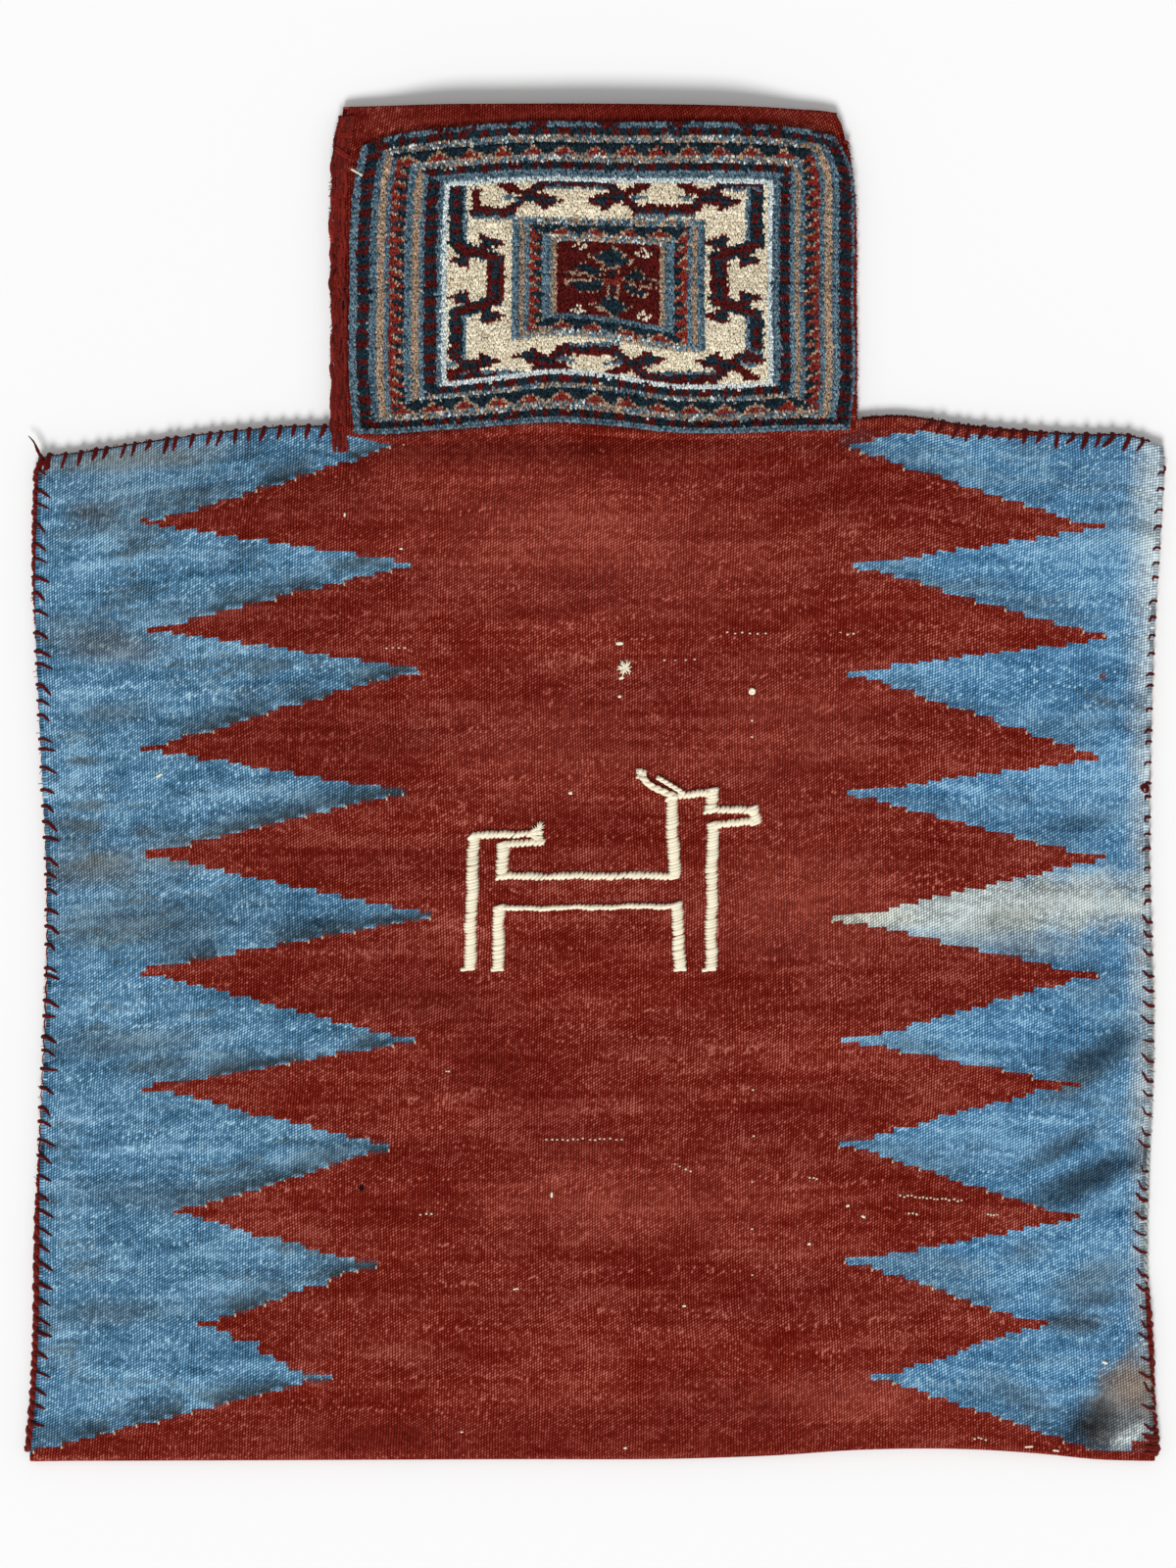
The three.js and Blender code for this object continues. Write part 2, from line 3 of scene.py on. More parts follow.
import bmesh
import bpy
import numpy as np
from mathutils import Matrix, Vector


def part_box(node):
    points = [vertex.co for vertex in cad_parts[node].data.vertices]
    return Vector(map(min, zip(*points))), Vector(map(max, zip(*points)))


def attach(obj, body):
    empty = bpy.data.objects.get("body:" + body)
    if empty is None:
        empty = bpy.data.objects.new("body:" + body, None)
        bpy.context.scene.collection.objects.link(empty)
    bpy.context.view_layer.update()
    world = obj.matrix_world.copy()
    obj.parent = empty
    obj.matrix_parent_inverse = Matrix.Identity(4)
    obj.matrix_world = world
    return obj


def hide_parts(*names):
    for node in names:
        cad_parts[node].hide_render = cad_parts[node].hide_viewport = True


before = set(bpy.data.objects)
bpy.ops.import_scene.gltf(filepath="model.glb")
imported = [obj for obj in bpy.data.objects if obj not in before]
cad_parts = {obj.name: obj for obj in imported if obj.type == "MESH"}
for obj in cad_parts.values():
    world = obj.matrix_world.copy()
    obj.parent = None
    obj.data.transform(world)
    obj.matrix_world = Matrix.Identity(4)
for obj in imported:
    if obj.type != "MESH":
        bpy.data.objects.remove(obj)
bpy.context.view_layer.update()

# A woven salt bag lying on its back. Lengths are millimetres until a mesh is made, x runs to the right of
# the front, y towards the mouth and z up out of the front.
MM = 0.001
CHANCE = np.random.default_rng(11)

# Cloth, as in the solids: two walls with some slack between them, sewn flat along the edges
CLOTH = 2.6
POCKET_GAP = 9
SEAM_EASE = 60
SEAM_GAP = 0.3
FOLD_GAP = 2
FOLD_EASE = 60
FOLD_RADIUS = 3.6
EDGE_LIFT = 1.4
EDGE_LIFT_EASE = 18
HALF_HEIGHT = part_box("bag_cloth")[1].y / MM
HALF_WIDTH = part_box("bag_cloth")[1].x / MM
NECK_HEIGHT = 161
HALF_NECK = 129
NECK_BASE = HALF_HEIGHT - NECK_HEIGHT
BODY_FOOT = -HALF_HEIGHT + FOLD_RADIUS

# Weave
WARP = 1.36
WEFT = 1.46
BEAD_SLANT = 0.35
ROW = 2.3
ROW_SPREAD = 0.3
BACK_ROW = 5.4
BACK_COLUMN = 2.6
ROLL_RADIUS = 2.2
ROLL_ANGLES = [30, 62, 95]

# Outline of the cloth as it lies: (height, x) along the sides, (x, height) along fold, shoulders and mouth
LEFT_SIDE = [
    (-338, -281), (-302, -278), (-185, -275.5), (-65, -271.5), (50, -276), (110, -278), (165, -276.5),
]
RIGHT_SIDE = [
    (-338, 277), (-285, 274), (-243, 271.5), (-126, 275), (-28, 273.5), (88, 276.5), (128, 279),
    (165, 281),
]
FOLD = [(-283, -337.5), (-50, -336.5), (50, -336), (90, -334.5), (130, -331.8), (190, -331.6), (225, -334),
        (250, -336.6), (283, -337.4)]
TOP = [(-283, 161.5), (-262, 163.2), (-224, 169), (-185, 174), (-146, 176.8), (-122, 176.5), (0, 176.4),
       (100, 176.8), (133, 181), (147, 182), (186, 177), (245, 172.5), (266, 172), (283, 167)]
NECK_LEFT = [(165, -128.5), (260, -129), (320, -127.5), (338, -124)]
NECK_RIGHT = [(165, 127.5), (240, 127.4), (300, 126), (318, 123.6), (328, 121.6), (333, 120.3), (338, 117.5)]
MOUTH = [(-130, 337.3), (0, 337.5), (60, 336.8), (100, 335.8), (114, 335), (130, 332)]

# Tips of the stepped blue fields: distance from the side seam, percent of the body's height
LEFT_TIPS = [
    (180, 98.8), (53, 91.1), (187, 87), (53, 80.9), (189, 76.8), (51, 69.3), (183, 65), (50, 59.1),
    (195, 53.1), (48, 47.7), (187, 41.1), (53, 36.4), (178, 30.7), (65, 24.5), (168, 19.3), (78, 13.6),
    (144, 8.4), (12, 1.9), (-5, 1.2),
]
RIGHT_TIPS = [
    (155, 98.6), (25, 90.7), (149, 86.8), (21, 80), (153, 76.5), (23, 68.5), (152, 64.8), (24, 58.6),
    (157, 52.7), (28, 47.3), (152, 41.1), (39, 36.8), (157, 31.1), (36, 23.9), (152, 19.6), (52, 13.6),
    (140, 8.4), (36, 1.7), (28, 1.1), (-5, 0.9),
]
RED_CORNER = (267, -328)
SHOULDER_BAND = [(122, 11), (136, 9.7), (154, 5.8), (169, 4.4), (186, 2.9), (204, 1.5), (225, 0)]
LEAST_TOOTH = 60
TOOTH_END = 12
TOOTH_ROOT_RISE = 0.44
TOOTH_TIP_RISE = 0.2
# Drops below each row over which the lower edges of the blue teeth are darkened, and the share of that on the
# right
EDGE_DARKENING_DROPS = [2, 4, 6, 8, 10, 12, 14]
RIGHT_EDGE_DARKENING = 0.45


def curve(stops, at):
    """Smooth values through a few (place, value) stops, level beyond the ends."""
    places, values = np.array(stops, float).T
    slopes = np.gradient(values, places)
    at = np.clip(np.asarray(at, float), places[0], places[-1])
    left = np.clip(np.searchsorted(places, at, side="right") - 1, 0, len(places) - 2)
    span = places[left + 1] - places[left]
    share = (at - places[left]) / span
    rest = 1 - share
    level = values[left] * (1 + 2 * share) * rest**2 + values[left + 1] * (1 + 2 * rest) * share**2
    turn = slopes[left] * share * rest**2 - slopes[left + 1] * rest * share**2
    return level + turn * span


def ease(share):
    return np.sin(np.pi / 2 * np.clip(share, 0, 1))


def soft_min(a, b, blend=6):
    """The smaller of two distances, with the corner between them rounded."""
    return -blend * np.logaddexp(-a / blend, -b / blend)


# Slack and wear in the cloth: long low waves, and a few ridges as (x, y, heading, length, width, height)
WAVE_COUNT = 22
WAVE_LENGTHS = (26, 95)
WAVE_SPREAD = 0.32
WAVE_HEIGHT = 0.015
WAVE_CALM = 25
WAVES = np.stack([
    CHANCE.uniform(*WAVE_LENGTHS, WAVE_COUNT),
    CHANCE.normal(0, WAVE_SPREAD, WAVE_COUNT),
    CHANCE.uniform(0, 2 * np.pi, WAVE_COUNT),
], axis=1)
RIDGES = [
    (205, -190, 35, 70, 9, 1.6), (225, -215, 40, 60, 8, -1.2), (180, -215, 30, 60, 10, 1.2),
    (150, -160, 20, 90, 12, 0.9), (-120, -90, -12, 90, 12, 0.8), (60, 120, -8, 120, 12, 0.7),
]


def ripple(x, y):
    """Height of the cloth's own unevenness."""
    total = np.zeros(np.broadcast(x, y).shape)
    for length, heading, phase in WAVES:
        run = x * math.sin(heading) + y * math.cos(heading)
        total += WAVE_HEIGHT * length / 2 * np.sin(2 * np.pi * run / length + phase)
    total /= math.sqrt(WAVE_COUNT) / 2
    for middle_x, middle_y, heading, length, width, height in RIDGES:
        turn = math.radians(heading)
        along = (x - middle_x) * math.cos(turn) + (y - middle_y) * math.sin(turn)
        across = (y - middle_y) * math.cos(turn) - (x - middle_x) * math.sin(turn)
        total += height * np.exp(-((2 * along / length) ** 2) - (across / width) ** 2)
    return total


def seam_distance(x, y):
    """Distance to the nearest sewn edge."""
    side = soft_min(x - curve(LEFT_SIDE, y), curve(RIGHT_SIDE, y) - x)
    across = np.abs(x)
    corner = np.hypot(HALF_NECK - across, np.maximum(NECK_BASE - y, 0))
    shoulder = np.where(across > HALF_NECK, curve(TOP, x) - y, corner)
    body = soft_min(side, shoulder)
    neck = soft_min(x - curve(NECK_LEFT, y), curve(NECK_RIGHT, y) - x)
    return np.maximum(np.where(y > NECK_BASE, neck, body), 0)


def back_low(x, y):
    return EDGE_LIFT * (1 - np.clip(seam_distance(x, y) / EDGE_LIFT_EASE, 0, 1))


def face_top(x, y):
    """Top of the front wall."""
    inside = seam_distance(x, y)
    opening = FOLD_GAP + (POCKET_GAP - FOLD_GAP) * ease((y - BODY_FOOT) / FOLD_EASE)
    gap = SEAM_GAP + (opening - SEAM_GAP) * ease(inside / SEAM_EASE)
    low = EDGE_LIFT * (1 - np.clip(inside / EDGE_LIFT_EASE, 0, 1))
    calm = np.clip(inside / WAVE_CALM, 0, 1) * np.clip((y - BODY_FOOT) / WAVE_CALM, 0, 1)
    return low + 2 * CLOTH + gap + ripple(x, y) * calm


# The crease at the foot of the neck, where its cloth rolls over the body: (x, height)
CREASE = [
    (-133, 176), (-118, 173), (-104, 169.8), (-95, 169.4), (-60, 172.5), (-24, 175.4), (0, 174),
    (24, 172), (60, 172), (108, 174), (133, 176),
]
CREASE_ROLL = 1.7
CREASE_WIDTH = 3.2


def neck_top(x, y):
    """Top of the neck's front wall, with the roll above its crease."""
    run = (y - curve(CREASE, x)) / CREASE_WIDTH - 1
    roll = np.where(run < 0, np.sqrt(np.clip(1 - run**2, 0, 1)), np.exp(-run**2))
    return face_top(x, y) + CREASE_ROLL * roll


# Meshes
MERGE_DISTANCE = 1e-6


def new_object(name, mesh, material, nodes):
    piece = bpy.data.objects.new(name, mesh)
    bpy.context.scene.collection.objects.link(piece)
    mesh.materials.append(material)
    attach(piece, "root")
    if nodes:
        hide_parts(*nodes)
    return piece


def set_values(mesh, label, numbers):
    """One value under that label for each point of a mesh."""
    attribute = mesh.attributes.new(label, "FLOAT", "POINT")
    attribute.data.foreach_set("value", numbers.astype(np.float32))


def quad_mesh(name, points, faces, uv=None, values=None):
    """A mesh of four-sided faces, with a map of the weave and values of the points where they are given."""
    used, faces = np.unique(faces, return_inverse=True)
    faces = faces.reshape(-1, 4)
    mesh = bpy.data.meshes.new(name)
    mesh.vertices.add(len(used))
    mesh.vertices.foreach_set("co", (points[used] * MM).astype(np.float32).ravel())
    mesh.loops.add(faces.size)
    mesh.loops.foreach_set("vertex_index", faces.astype(np.int32).ravel())
    mesh.polygons.add(len(faces))
    mesh.polygons.foreach_set("loop_start", np.arange(0, faces.size, 4, dtype=np.int32))
    mesh.update(calc_edges=True)
    if uv is not None:
        layer = mesh.uv_layers.new(name="weave")
        layer.data.foreach_set("uv", uv[used][faces].astype(np.float32).ravel())
    for label, numbers in (values or {}).items():
        set_values(mesh, label, numbers[used])
    mesh.shade_smooth()
    return mesh


def grid_faces(index, flip=False):
    """Four-sided faces of a grid of point numbers, seen from above, or from below where flip is true."""
    corners = [index[:-1, :-1], index[:-1, 1:], index[1:, 1:], index[1:, :-1]]
    if flip:
        corners.reverse()
    return np.stack(corners, axis=-1)


class Skin:
    """Grids of points gathered into one mesh."""

    def __init__(self):
        self.points = []
        self.uvs = []
        self.darkening = []
        self.count = 0

    def add(self, x, y, z, u, v, darkening=0.0):
        shape = x.shape
        self.darkening.append(np.broadcast_to(darkening, shape).ravel())
        self.points.append(np.stack(np.broadcast_arrays(x, y, z), axis=-1).reshape(-1, 3))
        self.uvs.append(np.stack(np.broadcast_arrays(u, v), axis=-1).reshape(-1, 2))
        index = self.count + np.arange(x.size).reshape(shape)
        self.count += x.size
        return index

    def mesh(self, name, faces):
        darkening = np.concatenate(self.darkening)
        return quad_mesh(name, np.concatenate(self.points), faces, np.concatenate(self.uvs), {"darkening": darkening})


def merge_doubles(mesh):
    work = bmesh.new()
    work.from_mesh(mesh)
    bmesh.ops.remove_doubles(work, verts=work.verts, dist=MERGE_DISTANCE)
    work.to_mesh(mesh)
    work.free()
    mesh.shade_smooth()


def rolled(count):
    """Shares across a strip with extra columns that roll over both edges, and the angle of each column."""
    shares = np.linspace(0, 1, count + 1)
    roll = np.radians(ROLL_ANGLES)
    shares = np.concatenate([np.zeros(len(roll)), shares, np.ones(len(roll))])
    angles = np.concatenate([-roll[::-1], np.zeros(count + 1), roll])
    return shares, angles


def body_plan(share, level):
    """Plan place at a share across from the left side and up from the fold."""
    height = BODY_FOOT + level * (NECK_BASE - BODY_FOOT)
    left = curve(LEFT_SIDE, height)
    x = left + share * (curve(RIGHT_SIDE, height) - left)
    foot = curve(FOLD, x) + FOLD_RADIUS
    return x, foot + level * (curve(TOP, x) - foot)


def neck_plan(share, level):
    foot = curve(CREASE, (2 * share - 1) * HALF_NECK)
    height = foot + level * (HALF_HEIGHT - foot)
    left = curve(NECK_LEFT, height)
    x = left + share * (curve(NECK_RIGHT, height) - left)
    return x, foot + level * (curve(MOUTH, x) - foot)


def thin_ended(tips):
    """The tips with the end of each tooth narrowed to about the height of a row."""
    made = [tips[0]]
    for before, (reach, at), after in zip(tips, tips[1:], tips[2:]):
        if abs(reach - before[0]) < LEAST_TOOTH or abs(reach - after[0]) < LEAST_TOOTH:
            made.append((reach, at))
            continue
        root = reach - math.copysign(TOOTH_END, reach - before[0])
        made += [(root, at + TOOTH_ROOT_RISE), (reach, at + TOOTH_TIP_RISE)]
        made += [(reach, at - TOOTH_TIP_RISE), (root, at - TOOTH_ROOT_RISE)]
    return made + [tips[-1]]


def field_reach(tips, height):
    """How far a blue field reaches from its side seam at a height."""
    percent = 100 * (height + HALF_HEIGHT) / (2 * HALF_HEIGHT - NECK_HEIGHT)
    reach, at = np.array(thin_ended(tips)[::-1], float).T
    return np.interp(percent, at, reach)


def lower_edge_darkening(x, y):
    """How much darker the weave is along the lower edges of the blue teeth, more on the left than on the
    right.
    """
    left = -HALF_WIDTH + field_reach(LEFT_TIPS, y)
    right = HALF_WIDTH - field_reach(RIGHT_TIPS, y)
    total = np.zeros_like(x)
    for drop in EDGE_DARKENING_DROPS:
        total += (x < left) & (x > -HALF_WIDTH + field_reach(LEFT_TIPS, y - drop))
        total += RIGHT_EDGE_DARKENING * ((x > right) & (x < HALF_WIDTH - field_reach(RIGHT_TIPS, y - drop)))
    return total / len(EDGE_DARKENING_DROPS)


# Materials
SHEEN_ROUGHNESS = 0.5


class Look:
    """A material whose colour, roughness and bump come from nodes."""

    def __init__(self, name):
        self.material = bpy.data.materials.new(name)
        self.material.use_nodes = True
        self.tree = self.material.node_tree
        self.shader = self.tree.nodes["Principled BSDF"]

    def node(self, kind, inputs=None, **settings):
        made = self.tree.nodes.new(kind)
        for key, value in settings.items():
            setattr(made, key, value)
        for key, value in (inputs or {}).items():
            if isinstance(value, bpy.types.NodeSocket):
                self.tree.links.new(value, made.inputs[key])
            else:
                made.inputs[key].default_value = value
        return made

    def math(self, operation, a, b=0.0):
        return self.node("ShaderNodeMath", {0: a, 1: b}, operation=operation).outputs[0]

    def total(self, start, *terms):
        """A start value with each (value, weight) added to it."""
        for value, weight in terms:
            start = self.math("ADD", self.math("MULTIPLY", value, weight), start)
        return start

    def span(self, value, low, high, to_low=0.0, to_high=1.0):
        inputs = {"Value": value, "From Min": low, "From Max": high, "To Min": to_low, "To Max": to_high}
        made = self.node("ShaderNodeMapRange", inputs, interpolation_type="SMOOTHSTEP")
        return made.outputs["Result"]

    def mix(self, share, a, b, blend="MIX"):
        made = self.node("ShaderNodeMix", {0: share, 6: a, 7: b}, data_type="RGBA", blend_type=blend)
        return made.outputs[2]

    def ramp(self, value, colours):
        """A colour between evenly spaced stops."""
        made = self.node("ShaderNodeValToRGB", {"Fac": value})
        stops = made.color_ramp.elements
        stops[0].color, stops[1].color = colours[0], colours[-1]
        for step, colour in enumerate(colours[1:-1], 1):
            stops.new(step / (len(colours) - 1)).color = colour
        return made.outputs["Color"]

    def vector(self, x, y, z=0.0):
        return self.node("ShaderNodeCombineXYZ", {0: x, 1: y, 2: z}).outputs[0]

    def noise(self, vector, scale, detail=2.0, roughness=0.5):
        inputs = {"Vector": vector, "Scale": scale, "Detail": detail, "Roughness": roughness}
        return self.node("ShaderNodeTexNoise", inputs).outputs["Fac"]

    def place(self):
        """Place in the object's own frame, in millimetres."""
        coordinates = self.node("ShaderNodeTexCoord").outputs["Object"]
        inputs = {0: coordinates, "Scale": 1 / MM}
        return self.node("ShaderNodeVectorMath", inputs, operation="SCALE").outputs[0]

    def finish(self, colour, height, depth, roughness=0.95, sheen=0.05, gloss=0.08):
        bump = self.node("ShaderNodeBump", {"Height": height, "Distance": depth * MM, "Strength": 1.0})
        self.tree.links.new(colour, self.shader.inputs["Base Color"])
        self.tree.links.new(bump.outputs[0], self.shader.inputs["Normal"])
        self.shader.inputs["Roughness"].default_value = roughness
        self.shader.inputs["Specular IOR Level"].default_value = gloss
        self.shader.inputs["Sheen Weight"].default_value = sheen
        self.shader.inputs["Sheen Roughness"].default_value = SHEEN_ROUGHNESS
        return self.material


def rgb(red, green, blue):
    """A linear colour from screen values out of 255."""
    levels = [value / 255 for value in (red, green, blue)]
    return [v / 12.92 if v <= 0.04045 else ((v + 0.055) / 1.055) ** 2.4 for v in levels] + [1.0]


# Noise in a weave: size of its patches across and along, detail and weight
RIB_WANDER = (30, 22, 2.0, 2.4)
BEAD_WANDER = (18, 12, 2.0, 1.6)
CLOUDS = [(80, 36, 2.0, 1.0), (24, 8, 2.0, 1.0), (6, 2.4, 2.0, 0.4)]
LIGHT_STREAKS = (110, 4, 3.0, 0.45)
DIRT_STREAKS = [(30, 7, 3.0, 0.7), (95, 34, 2.0, 0.9), (7, 3, 3.0, 0.5)]
PAINTED_GLINT_PATCHES = (60, 5, 3.0)
EDGE_PATCHES = (28, 18, 3.0)

# Light and dirt of a weave: each span says from and to which level of the noise a share rises
MEAN_LIGHT = 0.55
MEAN_CROWN = 0.67
BEAD_STAGGER = 0.5
BEAD_DEPTH = 0.45
WEFT_GLOSS = 0.02
PAINTED_GLINT_BEADS = (0.34, 0.42)
PAINTED_GLINT_PLACES = (0.02, 0.16)
PAINTED_GLINT_GAIN = 1.4
BEAD_LIGHT_RANGE = (0.4, 1.7)
DIRT_RISE = 0.28
EDGE_PLACES = (-0.15, 0.05)
EDGE_SHARES = (0.15, 1.0)
LOWER_EDGE_COLOUR = rgb(52, 65, 73)
FAR = 1e6
RAGGED = 1.0
RAGGED_SCALE = 0.09
# Grey for dirt on the left blue field and for painted shade along the folds on the right
DIRT_AND_FOLD_SHADE = rgb(78, 92, 100)


def blob(look, place, x, y, half_length, half_width, heading, soft):
    """Share of a patch of colour (a mark on the cloth, painted shade or painted light): one inside a turned
    ellipse, fading over its soft and ragged rim.
    """
    inputs = {
        "Vector": place, "Location": (x, y, 0), "Rotation": (0, 0, math.radians(heading)),
        "Scale": (half_length, half_width, FAR),
    }
    turned = look.node("ShaderNodeMapping", inputs, vector_type="TEXTURE").outputs[0]
    length = look.node("ShaderNodeVectorMath", {0: turned}, operation="LENGTH").outputs["Value"]
    edge = look.math("SUBTRACT", look.noise(place, RAGGED_SCALE, 3.0), 0.5)
    return look.span(look.total(length, (edge, RAGGED)), 1.0 + soft, 1.0 - soft)


def weave(name, tones, stains_and_shading, darkening, dirt_share, rib_share, bead_share, clouds, grain):
    """Weft-faced weave: slanted beads of weft on upright warps, with painted shade between the beads and
    painted highlights on their crowns, clouds of light, soiling, darker lower edges on the blue teeth, marks,
    and patches of painted shade and light.
    """
    look = Look(name)
    uv = look.node("ShaderNodeUVMap", uv_map="weave").outputs[0]
    split = look.node("ShaderNodeSeparateXYZ", {0: uv})
    u, v = split.outputs[0], split.outputs[1]

    def patch(across, along, detail, weight=1.0):
        """Noise round zero with features of that size in millimetres, and its weight."""
        stretched = look.vector(look.math("DIVIDE", u, across), look.math("DIVIDE", v, along))
        return look.math("SUBTRACT", look.noise(stretched, 1.0, detail), 0.5), weight

    def wave(run):
        """Number of the rib or bead that a run falls in, its place round the middle and its crown."""
        number = look.math("FLOOR", run)
        place = look.math("SUBTRACT", look.math("SUBTRACT", run, number), 0.5)
        fall = look.math("MULTIPLY", look.math("MULTIPLY", place, place), 4.0)
        return number, place, look.math("SUBTRACT", 1.0, fall)

    rib, aside, rib_crown = wave(look.math("DIVIDE", look.total(u, patch(*RIB_WANDER)), WARP))
    along = look.math("DIVIDE", look.total(v, patch(*BEAD_WANDER)), WEFT)
    bead, _, bead_crown = wave(look.total(along, (aside, -BEAD_SLANT), (rib, BEAD_STAGGER)))
    own = look.node("ShaderNodeTexWhiteNoise", {"Vector": look.vector(rib, bead)}, noise_dimensions="2D")
    own = look.math("SUBTRACT", own.outputs["Value"], 0.5)
    # The crowns of ribs and beads give the bump, and through the light below they also paint shade into the
    # gaps and a highlight onto the crowns
    height = look.total(0.0, (rib_crown, rib_share), (bead_crown, bead_share))
    # Painted highlights on single beads in patches, partly the pale warp showing through
    painted_glint_place = look.span(patch(*PAINTED_GLINT_PATCHES)[0], *PAINTED_GLINT_PLACES)
    painted_glints = look.math("MULTIPLY", look.span(own, *PAINTED_GLINT_BEADS), painted_glint_place)
    light = look.total(
        MEAN_LIGHT - MEAN_CROWN * (rib_share + bead_share), (height, 1.0), (own, grain),
        *[patch(*size, clouds * weight) for *size, weight in CLOUDS],
        patch(*LIGHT_STREAKS), (painted_glints, PAINTED_GLINT_GAIN * grain),
    )
    # Painted shade and highlight of the beads as a brightness, kept under every tint below
    bead_light = look.span(light, 0.0, 1.0, *BEAD_LIGHT_RANGE)
    bead_light_grey = look.vector(bead_light, bead_light, bead_light)

    def tinted(colour, share, tint_colour):
        """The colour with a share of a tint, which keeps the painted shade and highlight of the beads."""
        return look.mix(share, colour, look.mix(1.0, tint_colour, bead_light_grey, "MULTIPLY"))

    streaks = look.total(0.0, *[patch(*row) for row in DIRT_STREAKS])
    colour = tinted(look.ramp(light, tones), look.span(streaks, 0.0, DIRT_RISE, 0.0, dirt_share), darkening)
    # Darker along the lower edges of the blue teeth, broken up by noise
    lower = look.node("ShaderNodeAttribute", attribute_name="darkening").outputs["Fac"]
    broken = look.span(patch(*EDGE_PATCHES)[0], *EDGE_PLACES, *EDGE_SHARES)
    colour = tinted(colour, look.math("MULTIPLY", lower, broken), LOWER_EDGE_COLOUR)
    place = look.place()
    for *shape, tint_colour, share in stains_and_shading:
        colour = tinted(colour, look.math("MULTIPLY", blob(look, place, *shape), share), tint_colour)
    return look.finish(colour, height, BEAD_DEPTH, sheen=0.0, gloss=WEFT_GLOSS)


def fuzzy(name, colour, spread, grain, depth, sheen=0.2, pale=None):
    """Wool yarn: a shade for each strand and fine fibres, faded towards a paler colour where one is given."""
    look = Look(name)
    if pale:
        fade = look.node("ShaderNodeAttribute", attribute_name="fade").outputs["Fac"]
        colour = look.mix(fade, colour, pale)
    fibres = look.noise(look.place(), grain, 3.0, 0.7)
    tone = look.span(fibres, 0.25, 0.75, 1 - spread, 1 + spread)
    shade = look.node("ShaderNodeAttribute", attribute_name="shade").outputs["Fac"]
    tone = look.math("MULTIPLY", tone, shade)
    made = look.mix(1.0, colour, look.vector(tone, tone, tone), "MULTIPLY")
    return look.finish(made, fibres, depth, 1.0, sheen)


# Stains, and patches of painted shade and light: x and y of the middle, half length, half width, heading,
# softness of the rim, colour and strength
LEFT_STAINS = [
    (-236, 163, 48, 6, 4, 0.8, rgb(112, 118, 116), 0.75),
    (-250, 135, 13, 5, 0, 0.8, rgb(74, 70, 66), 0.7), (-246, 72, 25, 9, -4, 1.0, rgb(92, 98, 100), 0.7),
    (-238, 66, 18, 4, 0, 1.0, rgb(104, 98, 94), 0.3), (-240, 36, 18, 5, 6, 0.8, DIRT_AND_FOLD_SHADE, 0.6),
    (-255, 12, 8, 2.2, 0, 0.8, DIRT_AND_FOLD_SHADE, 0.8), (-254, -10.5, 10, 2.5, 0, 0.8, DIRT_AND_FOLD_SHADE, 0.8),
    (-256, -20.5, 9, 3, 0, 0.8, DIRT_AND_FOLD_SHADE, 0.7), (-224, -23, 9, 3, 0, 0.8, DIRT_AND_FOLD_SHADE, 0.6),
    (-252, -42, 26, 8, 0, 0.9, rgb(96, 98, 94), 0.7), (-190, -34, 42, 7, 3, 0.9, rgb(104, 104, 98), 0.6),
    (-225, -68, 46, 9, 0, 0.9, DIRT_AND_FOLD_SHADE, 0.6), (-236, -128, 34, 6, 5, 0.9, DIRT_AND_FOLD_SHADE, 0.6),
    (-215, -205, 40, 7, -4, 0.9, DIRT_AND_FOLD_SHADE, 0.5), (-240, -262, 30, 6, 4, 0.9, DIRT_AND_FOLD_SHADE, 0.6),
    (-240, 147, 36, 10, 0, 1.0, DIRT_AND_FOLD_SHADE, 0.25),
]
